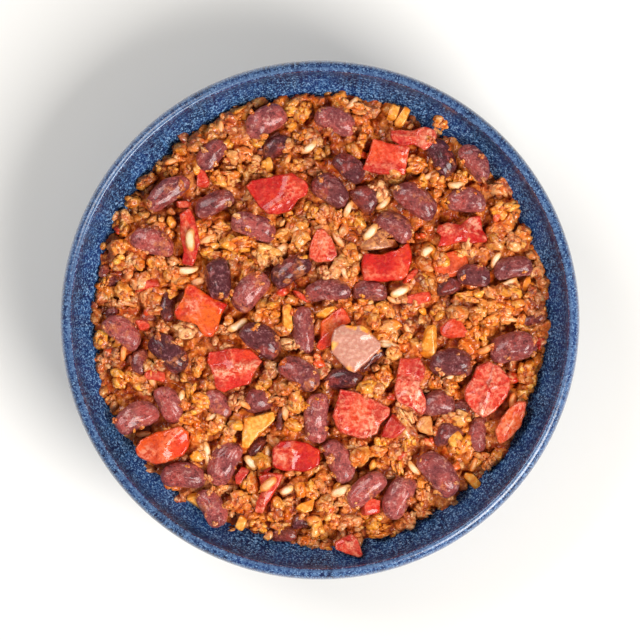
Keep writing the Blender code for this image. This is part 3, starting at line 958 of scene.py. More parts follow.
pepperBits = [
    (-64, -22, 9, 5, -15, 0.6), (-69, -2, 6, 5, 0, 0.5), (-67, 14, 11, 5, 0, 0.3),
    (-7, 9, 9, 2.5, -35, 0.4), (28, -42, 11, 8, 45, 0.0), (52, -3.5, 11, 9, 20, 0.6),
    (51, 21, 14, 11, 10, 0.8), (37.5, 8.6, 11, 5, 10, 0.5), (35, 17, 8, 3, 40, 0.5),
    (-31, -61, 8, 5, 70, 0.1), (20, -72, 10, 7, 0, 0.4), (-46, 56, 11, 5, 90, 0.4),
    (-53, 44.9, 7, 3, -10, 0.0),
]
# a tone over 1 is browned
onionBits = [
    (-12.5, 1, 12, 4.5, 90, 0.1), (2.3, 3, 8, 4, 35, 0.2), (42.5, -8, 16, 6, 80, 0.0),
    (-5.5, -72.5, 8, 5, 10, 0.0), (-21, -65, 8, 3, 40, 0.2), (41, -41, 7, 8, 0, 0.5),
    (53, -47, 6, 7, 30, 0.1), (-31, -79, 6, 4, 60, 0.0), (-46.5, -70.6, 11, 7, -30, 0.2),
    (59, -62, 9, 5, -35, 0.1), (23, 29.8, 19, 4.5, 2, 1.6), (24, 33, 11, 6, 20, 1.8),
    (28.5, 81, 8, 4, 60, 0.0), (32, 79, 9, 4, 60, 0.0),
]
sunkForm = {
    "tilt": 14, "seed": 17, "pale": 0.15,
    "beanLift": -1.0 * mm, "pepperLift": 0.1 * mm, "onionLift": 0.6 * mm,
    "thickness": 0.8, "around": 28, "along": 20, "bend": (0.04, 0.12), "endPower": 2.5,
    "slabThickness": 3.4 * mm, "cuts": 9, "taper": 0.25, "skew": 0.2, "round": 0.22, "roundUpper": 0.2,
    "roundFlat": 0.25, "slices": 5, "sliceLean": 0.3, "clip": 0.74,
}


class Gathering:
    # small meshes joined into one piece, each point keeping its own values

    def __init__(self):
        self.shape = bmesh.new()
        self.values = {}

    def add(self, mesh, place, **same):
        mesh.transform(place)
        self.shape.from_mesh(mesh)
        for name, value in same.items():
            self.values.setdefault(name, []).extend([value] * len(mesh.vertices))
        for name in ("grain", "crease", "crown"):
            if name in mesh.attributes:
                self.values.setdefault(name, []).extend(item.value for item in mesh.attributes[name].data)
        bpy.data.meshes.remove(mesh)

    def finish(self, name, material):
        mesh = meshOf(self.shape, name)
        for label, values in self.values.items():
            if label in mesh.attributes:
                mesh.attributes.remove(mesh.attributes[label])
            setAttribute(mesh, label, values)
        settle(mesh)
        return dress(mesh, material)


def turned(degrees, axis):
    return Matrix.Rotation(math.radians(degrees), 4, axis)


def girthAt(along, power):
    # what makes a ball's girth at a place along it that of a blunter or sharper shape
    return math.sqrt(max(1 - abs(along) ** power, 0)) / math.sqrt(max(1 - along ** 2, 0.0001))


def beanShape(chance, length, width):
    form = sunkForm
    shape = bmesh.new()
    bmesh.ops.create_uvsphere(shape, u_segments=form["around"], v_segments=form["along"], radius=1)
    bend = chance.uniform(*form["bend"])
    for vertex in shape.verts:
        along = vertex.co.z
        girth = girthAt(along, form["endPower"])
        side = vertex.co.x * girth * width / 2 + bend * width * (1 - 2 * along ** 2)
        vertex.co = Vector((along * length / 2, side, vertex.co.y * girth * width * form["thickness"] / 2))
    return shape


def slabShape(chance, length, width):
    # a cut piece: a rounded block with some corners sliced off
    form = sunkForm
    shape = bmesh.new()
    bmesh.ops.create_cube(shape, size=2)
    bmesh.ops.subdivide_edges(shape, edges=shape.edges, cuts=form["cuts"], use_grid_fill=True)
    taper = chance.uniform(-form["taper"], form["taper"])
    skew = chance.uniform(-form["skew"], form["skew"])
    slices = []
    for _ in range(form["slices"]):
        angle = chance.uniform(0, math.tau)
        lean = chance.uniform(-form["sliceLean"], form["sliceLean"])
        slices.append(Vector((math.cos(angle), math.sin(angle), lean)).normalized())
    for vertex in shape.verts:
        x, y, z = vertex.co
        squared = Vector((x ** 2, y ** 2, z ** 2))
        spot = Vector((x * math.sqrt(1 - squared.y * form["round"] - squared.z * form["roundUpper"]),
                       y * math.sqrt(1 - squared.x * form["round"] - squared.z * form["roundUpper"]),
                       z * math.sqrt(1 - squared.x * form["roundFlat"] - squared.y * form["roundFlat"])))
        for direction in slices:
            beyond = spot.dot(direction) - form["clip"]
            if beyond > 0:
                spot = spot - direction * beyond
        spot.y = spot.y * (1 + taper * spot.x) + skew * spot.x
        vertex.co = Vector((spot.x * length / 2, spot.y * width / 2, spot.z * form["slabThickness"] / 2))
    return shape


def placedAt(x, y, lift):
    # at a place of the plan, over the level there
    return Matrix.Translation((x * mm, y * mm, ground(x * mm, y * mm) + lift))


def buildSunken(name, places, maker, lift, form, material):
    chance = random.Random(sunkForm["seed"])
    whole = Gathering()
    for x, y, length, width, turn, tone in places:
        mesh = meshOf(maker(chance, length * mm, width * mm), "one")
        rumple(mesh, form, chance)
        place = placedAt(x, y, sunkForm[lift])
        for axis in "XY":
            place = place @ turned(chance.uniform(-sunkForm["tilt"], sunkForm["tilt"]), axis)
        whole.add(mesh, place @ turned(turn, "Z"), tone=tone % 1, pale=max(tone - 1, sunkForm["pale"]))
    return whole.finish(name, material)


# where the larger pieces lie, so that mince keeps off them
coverForm = {"reach": 93 * mm, "step": 0.75 * mm}


def joinedFaces(pieces, lowest=-math.inf):
    # the points and faces of several pieces, the faces only where they look up enough
    points = []
    faces = []
    for piece in pieces:
        start = len(points)
        points += [vertex.co.copy() for vertex in piece.data.vertices]
        for face in piece.data.polygons:
            if face.normal.z > lowest:
                faces.append([start + corner for corner in face.vertices])
    return points, faces


class Cover:
    # a plan of some pieces: their top height, and the distance to their outline

    def __init__(self, pieces):
        tree = BVHTree.FromPolygons(*joinedFaces(pieces))
        step = coverForm["step"]
        reach = coverForm["reach"]
        self.count = int(2 * reach / step) + 1
        self.top = np.full((self.count, self.count), -1.0)
        sky = bowlForm["height"] * 2
        for column in range(self.count):
            for row in range(self.count):
                x = column * step - reach
                y = row * step - reach
                if math.hypot(x, y) < reach:
                    hit = tree.ray_cast(Vector((x, y, sky)), Vector((0, 0, -1)))[0]
                    if hit:
                        self.top[column, row] = hit.z
        covered = self.top > 0
        inner = covered.copy()
        inner[1:-1, 1:-1] &= covered[2:, 1:-1] & covered[:-2, 1:-1] & covered[1:-1, 2:] & covered[1:-1, :-2]
        spots = np.argwhere(covered & ~inner)
        self.outline = KDTree(len(spots))
        for index, (column, row) in enumerate(spots):
            self.outline.insert((column * step - reach, row * step - reach, 0), index)
        self.outline.balance()

    def cell(self, place):
        return within(int(round((place + coverForm["reach"]) / coverForm["step"])), 0, self.count - 1)

    def topAt(self, x, y):
        return self.top[self.cell(x), self.cell(y)]

    def room(self, x, y):
        # distance to the nearest outline, negative under a piece
        distance = self.outline.find((x, y, 0))[2]
        return -distance if self.topAt(x, y) > 0 else distance


# the relief of sauce and minced meat under the loose lumps
coreForm = {
    "radius": 91.5 * mm, "step": 0.56 * mm, "drop": 4.2 * mm, "bottom": 26 * mm, "under": 1.2 * mm,
    "lumpSpacing": 4.6 * mm, "lumpStray": 0.6, "lumpSize": (2.6 * mm, 4.4 * mm),
    "lumpLift": (-2.4 * mm, -0.3 * mm), "grains": 6500, "grainSize": (0.9 * mm, 2.2 * mm),
    "grainLift": (0.0 * mm, 0.4 * mm), "grainSunk": 0.35, "grainShade": 0.12, "squash": 0.9,
    "warp": 0.9 * mm, "warpSpacing": 1.6 * mm, "window": 1.5, "seed": 5,
    "creaseStart": 0.35, "creaseGain": 1.2, "creaseWidth": 2,
}


class Relief:
    # a height field of overlapping blobs, each keeping its own tone

    def __init__(self):
        form = coreForm
        self.half = int(form["radius"] / form["step"])
        self.axis = np.arange(-self.half, self.half + 1) * form["step"]
        self.count = len(self.axis)
        self.xs, self.ys = np.meshgrid(self.axis, self.axis, indexing="ij")
        self.height = level.at(self.xs, self.ys) - form["drop"]
        self.tone = np.zeros_like(self.height)
        self.wet = np.ones_like(self.height)
        self.warpX = self.xs.copy()
        self.warpY = self.ys.copy()
        for i in range(self.count):
            for j in range(self.count):
                place = Vector((self.axis[i], self.axis[j], 0)) / form["warpSpacing"]
                self.warpX[i, j] += noise.noise(place) * form["warp"]
                self.warpY[i, j] += noise.noise(place + Vector((31, 17, 5))) * form["warp"]

    def cell(self, place):
        return within(int(round(place / coreForm["step"])) + self.half, 0, self.count - 1)

    def blob(self, x, y, z, r, tone):
        around = r * coreForm["window"]
        window = tuple(slice(self.cell(c - around), self.cell(c + around) + 1) for c in (x, y))
        far = (self.warpX[window] - x) ** 2 + (self.warpY[window] - y) ** 2
        bulge = z + coreForm["squash"] * np.sqrt(np.maximum(r * r - far, 0))
        higher = (far < r * r) & (bulge > self.height[window])
        self.height[window][higher] = bulge[higher]
        self.tone[window][higher] = tone
        self.wet[window][higher] = 0


def buildRelief():
    form = coreForm
    chance = random.Random(form["seed"])
    relief = Relief()
    spacing = form["lumpSpacing"]
    stray = form["lumpStray"]
    steps = int(form["radius"] / spacing) + 1
    for i in range(-steps, steps + 1):
        for j in range(-steps, steps + 1):
            x = (i + chance.uniform(-stray, stray)) * spacing
            y = (j + chance.uniform(-stray, stray)) * spacing
            r = chance.uniform(*form["lumpSize"])
            top = chance.uniform(*form["lumpLift"])
            tone = chance.random()
            if math.hypot(x, y) < form["radius"] - r:
                relief.blob(x, y, surface(x, y) + top - r * form["squash"], r, tone)
    lumps = relief.height.copy()
    tones = relief.tone.copy()
    for _ in range(form["grains"]):
        reach = form["radius"] * math.sqrt(chance.random())
        angle = chance.uniform(0, math.tau)
        x = reach * math.cos(angle)
        y = reach * math.sin(angle)
        r = chance.uniform(*form["grainSize"])
        lift = chance.uniform(*form["grainLift"])
        shade = chance.uniform(-form["grainShade"], form["grainShade"])
        if reach < form["radius"] - r:
            cell = (relief.cell(x), relief.cell(y))
            relief.blob(x, y, lumps[cell] + lift - r * form["grainSunk"], r, (tones[cell] + shade) % 1)
    return relief


def spread(heights, times):
    # a height field averaged with its neighbours
    for _ in range(times):
        wide = np.pad(heights, 1, "edge")
        across = wide[2:, 1:-1] + wide[:-2, 1:-1]
        heights = (across + wide[1:-1, 2:] + wide[1:-1, :-2] + wide[1:-1, 1:-1]) / 5
    return heights


def squaresOf(index):
    # the faces of a grid, wherever all four corners are in the index
    faces = []
    for i, j in index:
        corners = [(i, j), (i + 1, j), (i + 1, j + 1), (i, j + 1)]
        if all(corner in index for corner in corners):
            faces.append([index[corner] for corner in corners])
    return faces


def buildCore(cover):
    form = coreForm
    relief = buildRelief()
    # how far each point lies below its neighbours, where crease shade is painted
    hollow = (spread(relief.height, form["creaseWidth"]) - relief.height) / mm
    points = []
    index = {}
    values = {"tone": [], "wet": [], "crease": []}
    for i, x in enumerate(relief.axis):
        for j, y in enumerate(relief.axis):
            if math.hypot(x, y) <= form["radius"]:
                z = relief.height[i, j]
                top = cover.topAt(x, y)
                if top > 0:
                    z = min(z, top - form["under"])
                index[i, j] = len(points)
                points.append((x, y, z))
                values["tone"].append(relief.tone[i, j])
                values["wet"].append(relief.wet[i, j])
                values["crease"].append(within(form["creaseStart"] + hollow[i, j] * form["creaseGain"]))
    mesh = meshFrom("chiliCore", points, squaresOf(index))
    for name, row in values.items():
        setAttribute(mesh, name, row)
    shape = bmesh.new()
    shape.from_mesh(mesh)
    loose = [vertex for vertex in shape.verts if not vertex.link_faces]
    bmesh.ops.delete(shape, geom=loose, context="VERTS")
    rim = [edge for edge in shape.edges if edge.is_boundary]
    lowered = bmesh.ops.extrude_edge_only(shape, edges=rim)
    for vertex in [item for item in lowered["geom"] if isinstance(item, bmesh.types.BMVert)]:
        inward = innerRadius(form["bottom"]) / vertex.co.xy.length
        vertex.co = Vector((vertex.co.x * inward, vertex.co.y * inward, form["bottom"]))
    bmesh.ops.holes_fill(shape, edges=[edge for edge in shape.edges if edge.is_boundary], sides=0)
    bmesh.ops.recalc_face_normals(shape, faces=shape.faces)
    shape.to_mesh(mesh)
    shape.free()
    settle(mesh)
    return mesh


minceLook = {
    "tones": [(0.0, tint(184, 90, 40)), (0.14, tint(214, 136, 76)), (0.3, tint(234, 174, 116)),
              (0.44, tint(216, 130, 64)), (0.58, tint(230, 124, 18)), (0.74, tint(242, 162, 44)),
              (0.88, tint(196, 104, 60)), (1.0, tint(122, 50, 34))],
    "oil": tint(234, 108, 2), "goldenOil": tint(248, 158, 30), "goldenCloud": tint(252, 180, 70),
    "pale": tint(242, 178, 118), "crease": tint(222, 88, 0), "brownCloud": tint(146, 66, 38),
    "paintedGrainGlint": tint(252, 208, 146), "deepCreaseShade": tint(120, 26, 6), "grainHollowShade": tint(168, 48, 2),
    "gloom": tint(112, 40, 28), "deep": tint(92, 12, 8), "relief": 2.2 * mm,
    "wetMince": (tint(178, 50, 2), tint(236, 116, 14)), "sauce": (tint(84, 14, 4), tint(168, 52, 6)),
}


def minceColour(g, here, tone):
    # browned meat under an orange, oily sauce: each lump in its own tone, oilier in its creases, with painted
    # shade in creases, hollows and low places and painted glints on its grain
    look = minceLook
    broad = g.noise(here, 80, 2, 0.5)
    patch = g.noise(here, 170, 3, 0.6)
    fine = g.noise(here, 480, 3, 0.65)
    crease = g.attribute("crease")
    golden = g.attribute("golden")
    palest = g.attribute("palest")
    gloom = g.attribute("gloom")
    oily = g.layers(g.ramp(tone, look["tones"]), [
        (patch + golden * 0.12 - palest * 0.1, 0.48, 0.6, 0.75, look["oil"]),
        (patch, 0.6, 0.4, golden * 0.7, look["goldenOil"]),
        (broad, 0.46, 0.34, 0.45, look["goldenCloud"])])
    colour = g.layers(g.mix(palest * 0.5, oily, look["pale"]), [
        # oil in the creases, darker and more saturated: partly oil, partly painted shade
        (crease + (fine - 0.5) * 1.2, 0.4, 0.8, 0.65, look["crease"]),
        (broad, 0.54, 0.66, 0.4, look["brownCloud"]),
        # painted highlight on the raised grain of the relief
        (fine, 0.5, 0.63, 0.4, look["paintedGrainGlint"]),
        # painted shade deep in the creases
        (crease + (patch - 0.5) * 0.8, 0.65, 1.0, 0.5, look["deepCreaseShade"]),
        # painted shade in the hollows of that relief
        (fine, 0.49, 0.38, 0.35, look["grainHollowShade"]),
        # painted shade in the shade zones
        (patch, 0.3, 0.55, gloom * 0.6, look["gloom"]),
        # painted shade low down among the lumps, reaching higher in the shade zones
        (g.attribute("rise") - gloom * 2.4, 0.8, -3.0, 0.9, look["deep"])])
    return patch, fine, colour


def coreMaterial():
    material, g, here = newMaterial("minceInSauce")
    patch, fine, colour = minceColour(g, here, g.attribute("tone"))
    wet = g.attribute("wet")
    colour = g.mix(0.5, colour, g.mix(g.between(fine, 0.42, 0.6), *minceLook["wetMince"]))
    # sauce between the lumps, painted dark: partly the sauce, partly painted shade
    colour = g.mix(wet * 0.8, colour, g.mix(patch, *minceLook["sauce"]))
    finishMaterial(g, colour, 0.34 - 0.12 * wet + 0.2 * fine,
                   {"Specular IOR Level": 0.15, "Coat Weight": 0.5, "Coat Roughness": 0.12},
                   fine * 0.6 + patch * 0.4, minceLook["relief"], 0.9)
    return material


def crumbMaterial():
    material, g, here = newMaterial("mincedMeat")
    share = g.node("ShaderNodeMath", {"operation": "FRACT"}, [g.attribute("tone") + g.attribute("grain")])
    patch, fine, colour = minceColour(g, here, share)
    finishMaterial(g, colour, 0.34 + 0.25 * fine,
                   {"Specular IOR Level": 0.3, "Coat Weight": 0.7, "Coat Roughness": 0.14,
                    **juicy(0.05, 0.003, 0.0012, 0.0006)},
                   fine * 0.6 + patch * 0.4, minceLook["relief"], 0.9)
    return material


# what every kind of lump shares
lumpForm = {
    "coarse": 3, "coarseShift": 0.25, "knobDepth": 1.3, "flatness": 0.85, "cut": (0.3, 0.45),
    "spreadUp": 0.4, "crumbUp": 0.6, "crumbSunk": 0.42, "crumbDetail": 2, "creaseStart": 0.45,
    "noiseReach": 50,
}


def inNoise(chance):
    # a place in the noise, so that no two shapes are alike
    return Vector([chance.uniform(0, lumpForm["noiseReach"]) for _ in range(3)])


def lumpInto(shape, chance, form, middle, size, detail):
    # one rough lump, added to a mesh: knobbly, with a flat side or two
    made = bmesh.ops.create_icosphere(shape, subdivisions=detail, radius=0.5)["verts"]
    turn = Matrix.Rotation(chance.uniform(0, math.tau), 3, "Z")
    turn = turn @ Matrix.Rotation(chance.uniform(0, math.pi), 3, "X")
    shift = inNoise(chance)
    stretch = chance.uniform(*form["stretch"])
    flats = [(Vector([chance.gauss(0, 1) for _ in range(3)]).normalized(), chance.uniform(*lumpForm["cut"]))
             for _ in range(form["flats"])]
    for vertex in made:
        coarse = noise.noise(vertex.co * lumpForm["coarse"] + shift)
        knobs = abs(noise.noise(vertex.co * size / form["knobs"] + shift))
        bulge = coarse + lumpForm["coarseShift"] - lumpForm["knobDepth"] * knobs
        spot = vertex.co * (1 + form["uneven"] * bulge)
        for away, limit in flats:
            beyond = spot.dot(away) - limit
            if beyond > 0:
                spot = spot - away * beyond
        vertex.co = middle + turn @ Vector((spot.x * stretch, spot.y, spot.z * lumpForm["flatness"])) * size
    return made


def creasesOf(mesh, owners, lumps):
    # how near each point of a cluster is to the other lumps in it, where crease shade is painted
    values = []
    for vertex, owner in zip(mesh.vertices, owners):
        nearest = mm
        for number, (middle, size) in enumerate(lumps):
            if number != owner:
                nearest = min(nearest, (vertex.co - middle).length - size * lumpForm["creaseStart"])
        values.append(within(1 - nearest / mm))
    return values


def clusterMesh(form, chance, name):
    # a few lumps, with grains stuck over them
    shape = bmesh.new()
    grains = []
    owners = []
    lumps = []
    large = chance.randint(*form["lumps"])
    for order in range(large + chance.randint(*form["crumbs"])):
        if order < large:
            apart = form["spread"]
            up = apart * lumpForm["spreadUp"]
            middle = Vector((chance.gauss(0, apart), chance.gauss(0, apart), chance.gauss(0, up)))
            size = chance.uniform(*form["size"])
            detail = form["detail"]
        else:
            base, reach = lumps[chance.randrange(large)]
            away = Vector((chance.gauss(0, 1), chance.gauss(0, 1), abs(chance.gauss(0, lumpForm["crumbUp"]))))
            middle = base + away.normalized() * reach * lumpForm["crumbSunk"]
            size = chance.uniform(*form["crumbSize"])
            detail = lumpForm["crumbDetail"]
        made = lumpInto(shape, chance, form, middle, size, detail)
        grains += [chance.uniform(0, form["mixed"])] * len(made)
        owners += [len(lumps)] * len(made)
        lumps.append((middle, size))
    mesh = meshOf(shape, name)
    setAttribute(mesh, "grain", grains)
    setAttribute(mesh, "crease", creasesOf(mesh, owners, lumps))
    return mesh


hostForm = {
    "step": 1.5 * mm, "reach": 89 * mm, "overlap": 1.4 * mm,
    "upperFace": 0.3, "beanBrim": 2.1 * mm, "plateBrim": 3.0 * mm,
}


def hostFrom(name, points, faces, rooms):
    mesh = meshFrom(name, points, faces)
    setAttribute(mesh, "room", rooms)
    setAttribute(mesh, "rim", [math.hypot(point[0], point[1]) for point in points])
    return mesh


def buildHost(large, small):
    # the level that things are scattered over, with the room left between the larger pieces
    step = hostForm["step"]
    half = int(hostForm["reach"] / step)
    points = []
    rooms = []
    index = {}
    for i in range(-half, half + 1):
        for j in range(-half, half + 1):
            x = i * step
            y = j * step
            if math.hypot(x, y) <= hostForm["reach"]:
                index[i, j] = len(points)
                points.append((x, y, ground(x, y)))
                rooms.append(min(large.room(x, y), small.room(x, y) + hostForm["overlap"]))
    return hostFrom("host", points, squaresOf(index), rooms)


def buildTops(pieces, cover):
    # the upper faces of the larger pieces, with room only near their edges
    points, faces = joinedFaces(pieces, hostForm["upperFace"])
    brims = []
    for piece in pieces:
        brim = hostForm["beanBrim" if piece.name.startswith("bean") else "plateBrim"]
        brims += [brim] * len(piece.data.vertices)
    rooms = [brim + cover.room(point.x, point.y) for point, brim in zip(points, brims)]
    return hostFrom("tops", points, faces, rooms)


def scatterTree(shapes, material):
    # scatters a collection's shapes over the host wherever it has enough room
    tree = bpy.data.node_groups.new("scatterOverChili", "GeometryNodeTree")
    tree.interface.new_socket("Host", in_out="INPUT", socket_type="NodeSocketGeometry")
    for label in ("Spacing", "Density", "Room", "Reach", "Smallest", "Largest", "Tilt", "Lowest", "Highest"):
        tree.interface.new_socket(label, in_out="INPUT", socket_type="NodeSocketFloat")
    tree.interface.new_socket("Seed", in_out="INPUT", socket_type="NodeSocketInt")
    tree.interface.new_socket("Pieces", in_out="OUTPUT", socket_type="NodeSocketGeometry")
    g = Graph(tree)
    given = g.node("NodeGroupInput")
    seed = given.output("Seed")

    def chance(kind, low, high, offset):
        first, second, out = {"FLOAT": (2, 3, 1), "FLOAT_VECTOR": (0, 1, 0)}[kind]
        values = {first: low, second: high, 8: seed + offset}
        return g.node("FunctionNodeRandomValue", {"data_type": kind}, values, out)

    room = g.node("GeometryNodeInputNamedAttribute", {"data_type": "FLOAT"}, ["room"])
    rim = g.node("GeometryNodeInputNamedAttribute", {"data_type": "FLOAT"}, ["rim"])
    free = (room > given.output("Room")) * (given.output("Reach") > rim)
    spots = g.node("GeometryNodeDistributePointsOnFaces", {"distribute_method": "POISSON"},
                   {"Mesh": given.output("Host"), "Distance Min": given.output("Spacing"),
                    "Density Max": given.output("Density"), "Density Factor": free, "Seed": seed})
    picked = g.node("GeometryNodeCollectionInfo", None,
                    {"Collection": shapes, "Separate Children": True, "Reset Children": True})
    tilt = given.output("Tilt")
    lowTurn = g.node("ShaderNodeCombineXYZ", None, [0 - tilt, 0 - tilt, 0.0])
    highTurn = g.node("ShaderNodeCombineXYZ", None, [tilt, tilt, math.tau])
    laid = g.node("GeometryNodeInstanceOnPoints", None,
                  {"Points": spots, "Instance": picked, "Pick Instance": True,
                   "Rotation": chance("FLOAT_VECTOR", lowTurn, highTurn, 1),
                   "Scale": chance("FLOAT", given.output("Smallest"), given.output("Largest"), 2)})
    rise = g.node("ShaderNodeCombineXYZ", None,
                  [0.0, 0.0, chance("FLOAT", given.output("Lowest"), given.output("Highest"), 3)])
    lifted = g.node("GeometryNodeTranslateInstances", None,
                    {"Instances": laid, "Translation": rise, "Local Space": False})
    toned = g.node("GeometryNodeStoreNamedAttribute", {"data_type": "FLOAT", "domain": "INSTANCE"},
                   {"Geometry": lifted, "Name": "tone", "Value": chance("FLOAT", 0.0, 1.0, 4)})
    real = g.node("GeometryNodeRealizeInstances", None, [toned])
    painted = g.node("GeometryNodeSetMaterial", None, {"Geometry": real, "Material": material})
    g.node("NodeGroupOutput", None, [painted])
    return tree


def scatter(name, hostMesh, maker, form, material):
    # makes some kinds of a shape, scatters them over the host and joins them into one piece
    chance = random.Random(form["seed"])
    shapes = bpy.data.collections.new(name)
    for number in range(form["kinds"]):
        mesh = maker(form, chance, name + str(number))
        shapes.objects.link(bpy.data.objects.new(mesh.name, mesh))
    tree = scatterTree(shapes, material)
    host = newObject("host", hostMesh)
    modifier = host.modifiers.new("scatter", "NODES")
    modifier.node_group = tree
    for item in tree.interface.items_tree:
        if item.in_out == "INPUT" and item.name in form:
            modifier[item.identifier] = form[item.name]
    mesh = bake(host, name)
    bpy.data.node_groups.remove(tree)
    for made in list(shapes.objects):
        bpy.data.objects.remove(made)
    bpy.data.collections.remove(shapes)
    settle(mesh)
    print(name, sum(len(face.vertices) - 2 for face in mesh.polygons), "triangles")
    return dress(mesh)


# minced meat, from the larger lumps to the crumbs that stick to other pieces
nuggetForm = {
    "kinds": 20, "lumps": (2, 4), "crumbs": (3, 6), "spread": 1.9 * mm, "size": (3.6 * mm, 5.8 * mm),
    "crumbSize": (2.4 * mm, 4.0 * mm), "stretch": (1.0, 1.6), "uneven": 0.55, "knobs": 2.0 * mm, "flats": 1,
    "detail": 3, "mixed": 0.2, "seed": 21, "tall": 0.85, "lift": 0.3 * mm,
    "Spacing": 6.2 * mm, "Density": 90000.0, "Room": 2.4 * mm, "Reach": 86.5 * mm, "Smallest": 0.7,
    "Largest": 1.2, "Tilt": 0.5, "Lowest": -1.8 * mm, "Highest": 0.8 * mm, "Seed": 4,
}
granuleForm = {
    "kinds": 20, "lumps": (1, 2), "crumbs": (1, 3), "spread": 1.2 * mm, "size": (2.7 * mm, 4.4 * mm),
    "crumbSize": (1.6 * mm, 2.8 * mm), "stretch": (1.0, 1.8), "uneven": 0.55, "knobs": 1.6 * mm, "flats": 1,
    "detail": 2, "mixed": 0.2, "seed": 22,
    "Spacing": 3.9 * mm, "Density": 200000.0, "Room": 0.8 * mm, "Reach": 89 * mm, "Smallest": 0.7,
    "Largest": 1.25, "Tilt": 0.8, "Lowest": -2.4 * mm, "Highest": 0.4 * mm, "Seed": 9,
}
brimForm = {
    "kinds": 12, "lumps": (1, 2), "crumbs": (1, 3), "spread": 0.8 * mm, "size": (1.4 * mm, 2.6 * mm),
    "crumbSize": (0.8 * mm, 1.5 * mm), "stretch": (1.0, 1.8), "uneven": 0.6, "knobs": 1.0 * mm, "flats": 1,
    "detail": 2, "mixed": 0.2, "seed": 23,
    "Spacing": 3.6 * mm, "Density": 40000.0, "Room": 0.0, "Reach": 89 * mm, "Smallest": 0.5,
    "Largest": 1.2, "Tilt": 0.4, "Lowest": -0.8 * mm, "Highest": 0.0, "Seed": 33,
}
